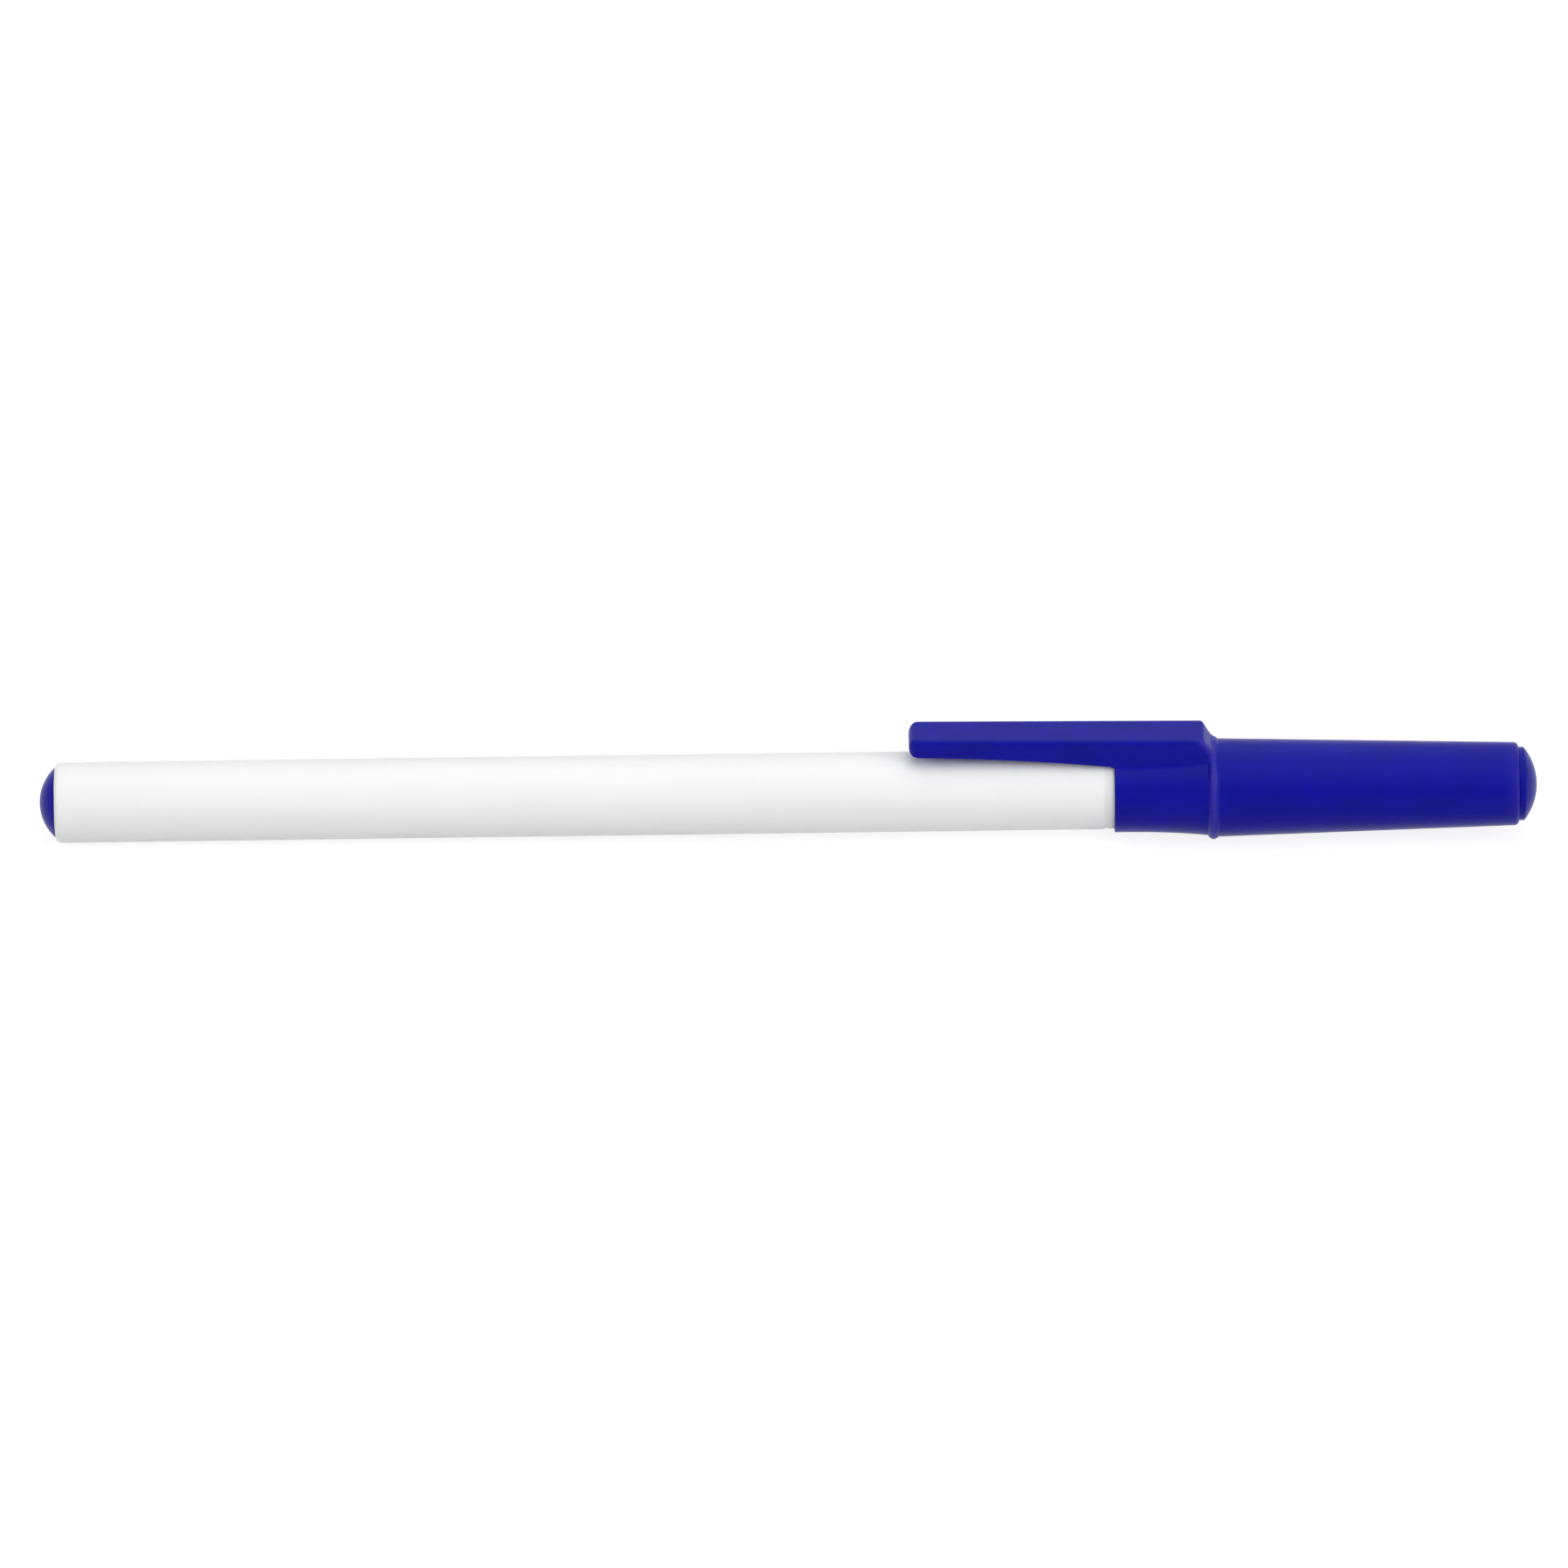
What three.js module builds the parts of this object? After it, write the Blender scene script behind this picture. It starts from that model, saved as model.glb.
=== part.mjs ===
// Capped stick ballpoint pen, in millimetres.
// The pen lies along +X, the clip points up (+Z), and the plane y = 0 mirrors it.
// Stations are distances along the pen from the rear tip of the barrel's end plug. A profile is a
// list of (station, radius) points that goes forward outside and comes back inside. Angles turn
// about the pen's axis, from the clip (0) towards +Y.
import * as THREE from 'three';
import { toCreasedNormals } from 'three/addons/utils/BufferGeometryUtils.js';

const { degToRad, radToDeg, lerp, clamp } = THREE.MathUtils;

// Fits
const press_clearance = 0.02; // pressed seats: plugs, tip holder, point stem, ink tube
const seat_gap = 0.02; // heads and collars to the faces they stop on
const cap_clearance = 0.03; // cap's grip ribs over the barrel's neck
const mouth_gap = 0.1; // cap's mouth to the barrel's shoulder
const ball_clearance = 0.015;
const ink_clearance = 0.05;

// Barrel
const barrel_radius = 4.0;
const barrel_wall = 1.1;
const barrel_body_length = 105.15; // rear face to the shoulder where the cap stops
const rear_edge_radius = 0.6;
const front_band_length = 0.7; // slightly slimmer band behind the shoulder
const front_band_step = 0.04;
const band_groove_width = 0.25;
const band_groove_depth = 0.08;
const shoulder_edge_radius = 0.15;
const neck_step = 0.4;
const neck_length = 13.0;
const nose_length = 11.2;
const nose_wall = 0.55;
const front_bore_length = 7.6;
const bore_taper_length = 5.0;

// Tip holder
const holder_seat_radius = 1.83;
const holder_seat_length = 7.0; // in the barrel's front bore
const holder_cone_length = 5.0;
const holder_front_radius = 1.45;
const holder_channel_radius = 0.5;
const tube_spigot_length = 6.0;

// Writing point and ball
const point_collar_radius = 1.15;
const point_collar_length = 0.9;
const point_cone_length = 2.35;
const point_stem_radius = 0.8;
const point_stem_length = 4.0;
const point_channel_radius = 0.3;
const point_lip_wall = 0.06;
const ball_radius = 0.5;
const ball_seat_depth = 0.2; // the ball's centre behind the lip

// Ink tube and ink
const tube_bore_radius = 1.1;
const tube_wall = 0.45;
const tube_length = 98.0;
const ink_length = 88.0;

// End plugs
const plug_wall = 0.8;
const plug_rib_height = 0.12;
const plug_rib_width = 0.6;
const plug_rib_count = 6;
const plug_lead_in = 0.25;
const barrel_plug_rim = 0.57; // head past the bore's edge
const barrel_plug_height = 1.53;
const barrel_plug_spigot_length = 5.0;
const cap_plug_rim = 0.41;
const cap_plug_edge_height = 0.5; // straight edge below the dome
const cap_plug_dome_height = 1.3;
const cap_plug_spigot_length = 2.0;

// Cap body
const tip_room = 5.5; // free room from the ball to the cap's end plug
const skirt_wall = 0.53;
const mouth_edge_radius = 0.12;
const skirt_flare_height = 0.4; // the skirt widens by this on the way to the flange
const flange_station = 9.8; // from the mouth
const flange_height = 0.26;
const flange_width = 0.8;
const flange_tip_width = 0.12;
const upper_wall = 1.09; // just ahead of the flange
const rim_wall = 0.88;
const rim_edge_radius = 0.25;
const cap_end_bore_radius = 3.25;
const mouth_lead_in = 0.2;
const grip_rib_count = 6;
const grip_rib_height = 0.17;
const grip_rib_width = 0.6;
const grip_rib_start = 1.6; // from the mouth
const grip_rib_length = 9.0;

// Clip, one moulding with the cap
const clip_length = 20.4; // free end to the mouth
const clip_end_width = 4.4;
const clip_root_width = 4.6;
const clip_end_thickness = 1.5;
const clip_root_thickness = 2.28;
const clip_end_gap = 1.4; // underside to the barrel
const clip_root_gap = 0.27;
const clip_edge_radius = 0.4;
const clip_corner_radius = 1.05; // corners of the free end, seen from above
const clip_end_outer_radius = 0.85; // free end's edges, seen from the side
const clip_end_under_radius = 0.4;
const clip_root_fillet = 0.25;
const clip_slope_start = 1.0; // the slope's upper edge, behind the flange
const clip_slope_angle = 57.7;
const clip_slope_edge_radius = 0.5;
const clip_bead_gap = 0.25; // bead to the barrel
const clip_bead_station = 2.4; // from the free end
const clip_bead_length = 3.4;
const clip_bead_width = 2.2;

// Facets
const row_gap = 0.03; // rows of the cap keep at least this apart
const round_columns = 64;
const plug_columns_between_ribs = 4;
const bore_columns_between_ribs = 6;
const small_columns = 32;
const clip_face_columns = 4; // from the clip's middle to one edge
const clip_edge_columns = 2;
const clip_side_columns = 2;
const skirt_columns = 21; // from the clip's side to the pen's underside

// Sizes and stations that the pieces share
const barrel_bore_radius = barrel_radius - barrel_wall;
const neck_radius = barrel_radius - neck_step;
const front_bore_radius = holder_seat_radius + press_clearance;
const nose_radius = front_bore_radius + nose_wall;
const rear_face = barrel_plug_height + seat_gap;
const shoulder = rear_face + barrel_body_length;
const nose_face = shoulder + neck_length + nose_length;
const holder_seat = nose_face + seat_gap;
const holder_seat_rear = holder_seat - holder_seat_length;
const holder_face = holder_seat + holder_cone_length;
const point_seat = holder_face + seat_gap;
const point_lip = point_seat + point_collar_length + point_cone_length;
const ball_centre = point_lip - ball_seat_depth;
const tube_front = holder_seat_rear - seat_gap;
const grip_radius = neck_radius + cap_clearance;
const cap_bore_radius = grip_radius + grip_rib_height;
const mouth_radius = cap_bore_radius + skirt_wall;
const upper_radius = cap_bore_radius + upper_wall;
const flange_radius = upper_radius + flange_height;
const rim_radius = cap_end_bore_radius + rim_wall;
const mouth = shoulder + mouth_gap;
const flange = mouth + flange_station;
const rim = ball_centre + ball_radius + tip_room + cap_plug_spigot_length;
const clip_end = mouth - clip_length;
const pen_length = rim + seat_gap + cap_plug_edge_height + cap_plug_dome_height;

const at = (station, radius) => new THREE.Vector2(station, radius);

const around = (station, radius, angle) => new THREE.Vector3(
	station, radius * Math.sin(angle), radius * Math.cos(angle),
);

// Values at even steps from 0 to 1, passed through a function.
const sample = (steps, value) => Array.from({ length: steps + 1 }, (_, i) => value(i / steps));

// Arc in a profile between two angles in degrees: 0 points forward and 90 points outward.
function arc(station, radius, size, from, to, steps = 4) {
	return sample(steps, (t) => {
		const angle = degToRad(lerp(from, to, t));
		return at(station + size * Math.cos(angle), radius + size * Math.sin(angle));
	});
}

// Dome from its edge to its tip: a sphere's cap of the given height over the given radius.
function dome(base, radius, height, steps) {
	const sphere = (radius ** 2 + height ** 2) / (2 * height);
	const opening = Math.asin(radius / sphere);
	return sample(steps, (t) => {
		const angle = opening * (1 - t);
		return at(base + height - sphere * (1 - Math.cos(angle)), sphere * Math.sin(angle));
	});
}

// Radius of an open profile at a station, which holds its end values past its ends.
function radiusAt(profile, station) {
	const next = profile.findIndex((p) => p.x >= station);
	if (next === 0) return profile[0].y;
	if (next < 0) return profile[profile.length - 1].y;
	const [a, b] = [profile[next - 1], profile[next]];
	return lerp(a.y, b.y, (station - a.x) / (b.x - a.x));
}

// Stations from rear to front, without the ones that nearly coincide.
function inOrder(stations) {
	const sorted = [...stations].sort((a, b) => a - b);
	const last = sorted[sorted.length - 1];
	const kept = [sorted[0]];
	for (const station of sorted) {
		const clear_of_both = Math.min(station - kept[kept.length - 1], last - station) > row_gap;
		if (clear_of_both) kept.push(station);
	}
	return [...kept, last];
}

// Body of revolution about the pen's axis.
function revolve(profile, columns = round_columns) {
	const points = profile.map((p) => new THREE.Vector2(p.y, p.x));
	return new THREE.LatheGeometry(points, columns).rotateZ(-Math.PI / 2);
}

// Ring of revolution, whose profile closes on itself.
function revolveRing(profile, columns = round_columns) {
	return revolve([...profile, profile[0]], columns);
}

// Triangles between each row of points and the next. Faces point outward where the rows go
// forward and each row turns about the axis.
function patch(rows) {
	const triangles = [];
	for (let i = 0; i + 1 < rows.length; i++) {
		for (let j = 0; j + 1 < rows[i].length; j++) {
			const [a, b, c, d] = [rows[i][j], rows[i + 1][j], rows[i + 1][j + 1], rows[i][j + 1]];
			triangles.push(a, b, c, a, c, d);
		}
	}
	return triangles;
}

// Triangles between two full turns of points that are spaced differently.
function zip(row, angles, next_row, next_angles) {
	const triangles = [];
	let [i, j] = [0, 0];
	while (i + 1 < row.length || j + 1 < next_row.length) {
		const row_is_behind = i + 1 < row.length && angles[i + 1] <= next_angles[j + 1];
		if (j + 1 === next_row.length || row_is_behind) {
			triangles.push(row[i], next_row[j], row[i + 1]);
			i++;
		} else {
			triangles.push(row[i], next_row[j], next_row[j + 1]);
			j++;
		}
	}
	return triangles;
}

// One surface from triangles that meet edge to edge, without those that are drawn in to a line.
function surface(triangles) {
	const corners = [];
	for (let i = 0; i < triangles.length; i += 3) {
		const [a, b, c] = triangles.slice(i, i + 3);
		const shortest = Math.min(a.distanceTo(b), b.distanceTo(c), c.distanceTo(a));
		if (shortest > 1e-6) corners.push(a, b, c);
	}
	return toCreasedNormals(new THREE.BufferGeometry().setFromPoints(corners), degToRad(30));
}

// Full turn of angles with even ribs, and whether each angle lies on a rib's top.
function ribbedTurn(count, width, radius, columns_between) {
	const half = Math.asin(width / 2 / radius);
	const foot = half * 1.15;
	const pitch = 2 * Math.PI / count;
	const turn = [{ angle: -Math.PI, on_rib: true }];
	for (let i = 0; i < count; i++) {
		const middle = -Math.PI + i * pitch;
		turn.push({ angle: middle + half, on_rib: true });
		for (let j = 0; j <= columns_between; j++) {
			turn.push({ angle: middle + lerp(foot, pitch - foot, j / columns_between), on_rib: false });
		}
		turn.push({ angle: middle + pitch - half, on_rib: true });
		turn.push({ angle: middle + pitch, on_rib: true });
	}
	return turn;
}

// Rows of a revolved profile whose points carry a rib height, added where the turn has a rib.
function ribbedRows(profile, turn) {
	return profile.map(({ point, rib }) => turn.map(
		({ angle, on_rib }) => around(point.x, point.y + (on_rib ? rib : 0), angle),
	));
}

const plain = (station, radius) => ({ point: at(station, radius), rib: 0 });

function named(name, geometry, finish) {
	const mesh = new THREE.Mesh(geometry, new THREE.MeshStandardMaterial(finish));
	mesh.name = name;
	return mesh;
}

const white_plastic = { color: 0xf2f2f2, roughness: 0.35, metalness: 0 };
const blue_plastic = { color: 0x211e94, roughness: 0.38, metalness: 0 };
const point_metal = { color: 0xc9c2ae, roughness: 0.25, metalness: 1 };
const ball_metal = { color: 0xb9bbc0, roughness: 0.12, metalness: 1 };
const tube_plastic = { color: 0xdfe3e6, roughness: 0.3, metalness: 0, transparent: true, opacity: 0.45 };
const ink_paste = { color: 0x14125c, roughness: 0.2, metalness: 0 };

// Straight barrel: rounded rear edge, slim front band, shoulder, neck for the cap, tapered nose.
function makeBarrel() {
	const band_start = shoulder - front_band_length;
	const band_radius = barrel_radius - front_band_step;
	const edge = shoulder_edge_radius;
	const bore_end = nose_face - front_bore_length;
	return revolveRing([
		...arc(rear_face + rear_edge_radius, barrel_radius - rear_edge_radius, rear_edge_radius, 180, 90),
		at(band_start - band_groove_width, barrel_radius),
		at(band_start - band_groove_width / 2, barrel_radius - band_groove_depth),
		at(band_start, band_radius),
		...arc(shoulder - edge, band_radius - edge, edge, 90, 0, 2),
		at(shoulder, neck_radius),
		at(shoulder + neck_length, neck_radius),
		at(nose_face, nose_radius),
		at(nose_face, front_bore_radius),
		at(bore_end, front_bore_radius),
		at(bore_end - bore_taper_length, barrel_bore_radius),
		at(rear_face, barrel_bore_radius),
	]);
}

// Plug in a bore whose edge is at the face: domed head outside, hollow ribbed spigot inside.
function makePlug({ face, bore_radius, rim_width, edge_height, dome_height, spigot_length }) {
	const seat = face + seat_gap;
	const end = face - spigot_length;
	const rib = plug_rib_height;
	const radius = bore_radius - press_clearance - rib;
	const inside = radius - plug_wall;
	const head_radius = bore_radius + rim_width;
	const profile = [
		plain(seat - plug_wall, 0),
		plain(seat - plug_wall, inside),
		plain(end, inside),
		plain(end, radius - plug_lead_in),
		plain(end + plug_lead_in, radius),
		{ point: at(end + 2 * plug_lead_in, radius), rib },
		{ point: at(seat, radius), rib },
		plain(seat, head_radius),
		...dome(seat + edge_height, head_radius, dome_height, 8).map((p) => plain(p.x, p.y)),
	];
	const turn = ribbedTurn(plug_rib_count, plug_rib_width, bore_radius, plug_columns_between_ribs);
	return surface(patch(ribbedRows(profile, turn)));
}

// Rear plug: it faces backward.
function makeBarrelEndPlug() {
	return makePlug({
		face: 0,
		bore_radius: barrel_bore_radius,
		rim_width: barrel_plug_rim,
		edge_height: 0,
		dome_height: barrel_plug_height,
		spigot_length: barrel_plug_spigot_length,
	}).rotateZ(Math.PI).translate(rear_face, 0, 0);
}

function makeCapEndPlug() {
	return makePlug({
		face: rim,
		bore_radius: cap_end_bore_radius,
		rim_width: cap_plug_rim,
		edge_height: cap_plug_edge_height,
		dome_height: cap_plug_dome_height,
		spigot_length: cap_plug_spigot_length,
	});
}

// Plastic cone that carries the metal point in front and the ink tube behind.
function makeTipHolder() {
	const spigot_radius = tube_bore_radius - press_clearance;
	const spigot_end = holder_seat_rear - tube_spigot_length;
	const stem_bore_radius = point_stem_radius + press_clearance;
	const stem_bore_end = point_seat - point_stem_length - seat_gap;
	return revolveRing([
		at(spigot_end, spigot_radius),
		at(holder_seat_rear, spigot_radius),
		at(holder_seat_rear, holder_seat_radius),
		at(holder_seat, holder_seat_radius),
		at(holder_seat, nose_radius),
		at(holder_face, holder_front_radius),
		at(holder_face, stem_bore_radius),
		at(stem_bore_end, stem_bore_radius),
		at(stem_bore_end, holder_channel_radius),
		at(spigot_end, holder_channel_radius),
	], small_columns);
}

// Metal point: stem, collar and cone, whose lip closes over the ball past its middle.
function makeWritingPoint() {
	const socket_radius = ball_radius + ball_clearance;
	const lip_angle = radToDeg(Math.acos(ball_seat_depth / socket_radius));
	const back_angle = 180 - radToDeg(Math.asin(point_channel_radius / socket_radius));
	const lip_bore_radius = Math.sqrt(socket_radius ** 2 - ball_seat_depth ** 2);
	return revolveRing([
		at(point_seat - point_stem_length, point_stem_radius),
		at(point_seat, point_stem_radius),
		at(point_seat, point_collar_radius),
		at(point_seat + point_collar_length, point_collar_radius),
		at(point_lip, lip_bore_radius + point_lip_wall),
		...arc(ball_centre, 0, socket_radius, lip_angle, back_angle, 10),
		at(point_seat - point_stem_length, point_channel_radius),
	], small_columns);
}

function makeWritingBall() {
	return new THREE.SphereGeometry(ball_radius, small_columns, small_columns / 2)
		.rotateZ(-Math.PI / 2)
		.translate(ball_centre, 0, 0);
}

function makeInkTube() {
	const rear = tube_front - tube_length;
	const radius = tube_bore_radius + tube_wall;
	return revolveRing([
		at(rear, radius),
		at(tube_front, radius),
		at(tube_front, tube_bore_radius),
		at(rear, tube_bore_radius),
	], small_columns);
}

// Ink in the tube, running on as a thread through the holder and the point to the ball.
function makeInkColumn() {
	const radius = tube_bore_radius - press_clearance;
	const front = holder_seat_rear - tube_spigot_length - ink_clearance;
	const rear = front - ink_length;
	const thread_radius = holder_channel_radius - ink_clearance;
	const fine_radius = point_channel_radius - ink_clearance;
	const fine_start = point_seat - point_stem_length - ink_clearance;
	const tip = ball_centre - ball_radius - ink_clearance;
	return revolve([
		at(rear + radius / 2, 0), // hollow meniscus
		at(rear, radius),
		at(front, radius),
		at(front, thread_radius),
		at(fine_start, thread_radius),
		at(fine_start, fine_radius),
		at(tip, fine_radius),
		at(tip, 0),
	], small_columns);
}

// Outside of the cap: skirt flaring to a pointed flange ring, then the tapered upper body.
const cap_profile = [
	...arc(mouth + mouth_edge_radius, mouth_radius - mouth_edge_radius, mouth_edge_radius, 180, 90, 2),
	...sample(6, (t) => at(
		lerp(mouth + mouth_edge_radius, flange - flange_width / 2, t),
		mouth_radius + skirt_flare_height * t ** 2.5,
	)).slice(1),
	at(flange - flange_tip_width / 2, flange_radius),
	at(flange + flange_tip_width / 2, flange_radius),
	at(flange + flange_width / 2, upper_radius),
	...arc(rim - rim_edge_radius, rim_radius - rim_edge_radius, rim_edge_radius, 90, 0, 3),
];

// Outer face of the clip from its free end, over the cap's skirt and down the slope by the flange.
function clipFace() {
	const end_height = barrel_radius + clip_end_gap + clip_end_thickness;
	const root_height = barrel_radius + clip_root_gap + clip_root_thickness;
	const edge = clip_end_outer_radius;
	const crest = clip_slope_edge_radius;
	const slope_angle = degToRad(clip_slope_angle);
	const slope_top = flange - clip_slope_start;
	const crest_start = slope_top - crest * Math.tan(slope_angle / 2);
	return [
		...arc(clip_end + edge, end_height - edge, edge, 180, 90, 8),
		...arc(crest_start, root_height - crest, crest, 90, 90 - clip_slope_angle),
		at(slope_top + root_height / Math.tan(slope_angle), 0),
	];
}

// Underside of the clip in its middle plane. It opens quickly from the mouth and then runs nearly
// level to the free end, whose edge is rounded. At its root it bends down to the mouth's edge.
function clipUnderside() {
	const root = mouth - clip_root_fillet;
	const root_radius = barrel_radius + clip_root_gap;
	const lip_radius = mouth_radius - mouth_edge_radius;
	const edge = clip_end_under_radius;
	const start = clip_end + edge;
	const end_radius = barrel_radius + clip_end_gap;
	return [
		...arc(start, end_radius + edge, edge, 180, 270, 4).slice(0, -1),
		...sample(12, (t) => at(
			lerp(start, root, t),
			root_radius + (clip_end_gap - clip_root_gap) * (1 - t ** 1.7),
		)),
		...sample(3, (t) => at(
			lerp(root, mouth, t),
			lerp(lip_radius, root_radius, Math.sqrt(1 - t ** 2)),
		)).slice(1),
	];
}

const clip_face = clipFace();
const clip_underside = clipUnderside();

// Half width of the clip, drawn in round the corners of its free end.
function clipHalfWidth(station) {
	const along = clamp((station - clip_end) / (flange - clip_end), 0, 1);
	const corner = clamp(1 - (station - clip_end) / clip_corner_radius, 0, 1);
	const draw_in = clip_corner_radius * (1 - Math.sqrt(1 - corner ** 2));
	return lerp(clip_end_width, clip_root_width, along) / 2 - draw_in;
}

// Radius at which a ray from the axis leaves the clip's block, whose outer edges are rounded.
function blockRadius(angle, half_width, height) {
	const [across, up] = [Math.sin(Math.abs(angle)), Math.cos(angle)];
	const [edge_across, edge_up] = [half_width - clip_edge_radius, height - clip_edge_radius];
	if (height * across <= edge_across * up) return height / up;
	if (half_width * up <= edge_up * across) return half_width / across;
	const miss = edge_up * across - edge_across * up;
	return edge_across * across + edge_up * up + Math.sqrt(clip_edge_radius ** 2 - miss ** 2);
}

// Angles of the columns from the clip's middle to the foot of its side. They follow the block's
// rounded edge, and stay in order where that edge sinks into the cap.
function clipAngles(half_width, height, foot_radius) {
	const foot = Math.asin(half_width / foot_radius);
	const step = foot / 12;
	const edge_start = Math.min(Math.atan((half_width - clip_edge_radius) / height), foot - 2 * step);
	const edge_end = Math.atan2(half_width, Math.max(height - clip_edge_radius, 0));
	const edge_stop = clamp(edge_end, edge_start + step / 2, foot - step);
	return [
		...sample(clip_face_columns, (t) => edge_start * t),
		...sample(clip_edge_columns, (t) => lerp(edge_start, edge_stop, t)).slice(1),
		...sample(clip_side_columns, (t) => lerp(edge_stop, foot, t)).slice(1),
	];
}

const mirrored = (angles) => [...angles.slice(1).map((a) => -a).reverse(), ...angles];

// Bead under the clip's free end, which presses a pocket's edge on the barrel: how far it stands
// out of the underside.
function beadDepth(station, angle, underside_radius) {
	const along = (station - clip_end - clip_bead_station) / (clip_bead_length / 2);
	const across = underside_radius * Math.sin(angle) / (clip_bead_width / 2);
	const full_depth = underside_radius - barrel_radius - clip_bead_gap;
	return full_depth * Math.max(0, 1 - along ** 2 - across ** 2);
}

// Clip behind the mouth: rows of its outside, and rows of its underside with the same columns.
function clipRows() {
	const bead_start = clip_end + clip_bead_station - clip_bead_length / 2;
	const stations = inOrder([
		...sample(8, (t) => clip_end + clip_corner_radius * (1 - Math.cos(t * Math.PI / 2))),
		...sample(8, (t) => bead_start + clip_bead_length * t),
		...clip_underside.map((p) => p.x),
	]);
	const outside = [];
	const underside = [];
	for (const station of stations) {
		const half_width = clipHalfWidth(station);
		const height = radiusAt(clip_face, station);
		const radius = radiusAt(clip_underside, station);
		const angles = mirrored(clipAngles(half_width, height, radius));
		const last = angles.length - 1;
		outside.push(angles.map((angle, i) => around(
			station, i === 0 || i === last ? radius : blockRadius(angle, half_width, height), angle,
		)));
		underside.push(angles.map((angle) => around(
			station, radius - beadDepth(station, angle, radius), angle,
		)));
	}
	return { outside, underside };
}

// Outside of the cap from the mouth to the rim, with the clip's root standing on it.
function capRows() {
	const stations = inOrder([
		...cap_profile.map((p) => p.x),
		...clip_face.map((p) => p.x).filter((x) => x > mouth && x < flange),
		...sample(8, (t) => lerp(flange - clip_slope_start, flange + flange_width, t)),
	]);
	return stations.map((station) => {
		const radius = radiusAt(cap_profile, station);
		const half_width = clipHalfWidth(station);
		const height = radiusAt(clip_face, station);
		const clip_angles = clipAngles(half_width, height, radius);
		const foot = clip_angles[clip_angles.length - 1];
		const skirt_angles = sample(skirt_columns, (t) => lerp(foot, Math.PI, t)).slice(1);
		const angles = mirrored([...clip_angles, ...skirt_angles]);
		const row = angles.map((angle) => {
			const on_clip = Math.abs(angle) < foot;
			const reach = on_clip ? Math.max(radius, blockRadius(angle, half_width, height)) : radius;
			return around(station, reach, angle);
		});
		return { angles, row };
	});
}

// Inside of the cap from the rim back to the mouth: draft, bore, grip ribs and lead-in.
function capBoreRows(turn) {
	const rib = -grip_rib_height;
	const rib_start = mouth + grip_rib_start;
	const rib_end = rib_start + grip_rib_length;
	return ribbedRows([
		plain(rim, cap_end_bore_radius),
		plain(rim - cap_plug_spigot_length, cap_end_bore_radius),
		plain(mouth + neck_length, cap_bore_radius),
		plain(rib_end, cap_bore_radius),
		{ point: at(rib_end - grip_rib_height, cap_bore_radius), rib },
		{ point: at(rib_start + grip_rib_height, cap_bore_radius), rib },
		plain(rib_start, cap_bore_radius),
		plain(mouth + mouth_lead_in, cap_bore_radius),
		plain(mouth, cap_bore_radius + mouth_lead_in),
	], turn);
}

// Cap and clip as one closed surface. The mouth's face runs from the bore to the cap's outside,
// and to the clip's underside where the clip grows out of the mouth.
function makeCap() {
	const turn = ribbedTurn(grip_rib_count, grip_rib_width, grip_radius, bore_columns_between_ribs);
	const turn_angles = turn.map(({ angle }) => angle);
	const outside = capRows();
	const [mouth_ring, rim_ring] = [outside[0], outside[outside.length - 1]];
	const bore = capBoreRows(turn);
	const clip = clipRows();
	const clip_root = clip.underside[clip.underside.length - 1];
	const clip_join = mouth_ring.row.slice(skirt_columns, skirt_columns + clip_root.length);
	const mouth_edge = [...mouth_ring.row];
	mouth_edge.splice(skirt_columns, clip_root.length, ...clip_root);
	return surface([
		...patch(outside.map(({ row }) => row)),
		...zip(rim_ring.row, rim_ring.angles, bore[0], turn_angles),
		...patch(bore),
		...zip(bore[bore.length - 1], turn_angles, mouth_edge, mouth_ring.angles),
		...patch([...clip.outside.slice(0, -1), clip_join]),
		...patch([...clip.underside].reverse()),
		...patch([clip.underside[0], clip.outside[0]]),
	]);
}

const pen = new THREE.Group();
pen.add(
	named('barrel', makeBarrel(), white_plastic),
	named('barrel_end_plug', makeBarrelEndPlug(), blue_plastic),
	named('tip_holder', makeTipHolder(), blue_plastic),
	named('writing_point', makeWritingPoint(), point_metal),
	named('writing_ball', makeWritingBall(), ball_metal),
	named('ink_tube', makeInkTube(), tube_plastic),
	named('ink_column', makeInkColumn(), ink_paste),
	named('cap', makeCap(), blue_plastic),
	named('cap_end_plug', makeCapEndPlug(), blue_plastic),
);

// The part's origin is midway along the pen, under its axis at the foot of the flange.
pen.position.set(-pen_length / 2, 0, flange_radius);

const part = new THREE.Group();
part.add(pen);

export default part;
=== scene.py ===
"""Looks of a capped stick ballpoint pen, in metres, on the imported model's frame.

The pen lies along X, its clip points up (+Z), and the plane y = 0 mirrors it. A profile is an
array of (station, radius) pairs: stations are places along X, and radii are measured from the
pen's axis. Angles turn about that axis, from the clip (0) towards +Y.
"""

import math
from collections import namedtuple

import bmesh
import bpy
import numpy as np
from bpy.props import FloatProperty, FloatVectorProperty, IntProperty, PointerProperty
from mathutils import Matrix, Vector


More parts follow.
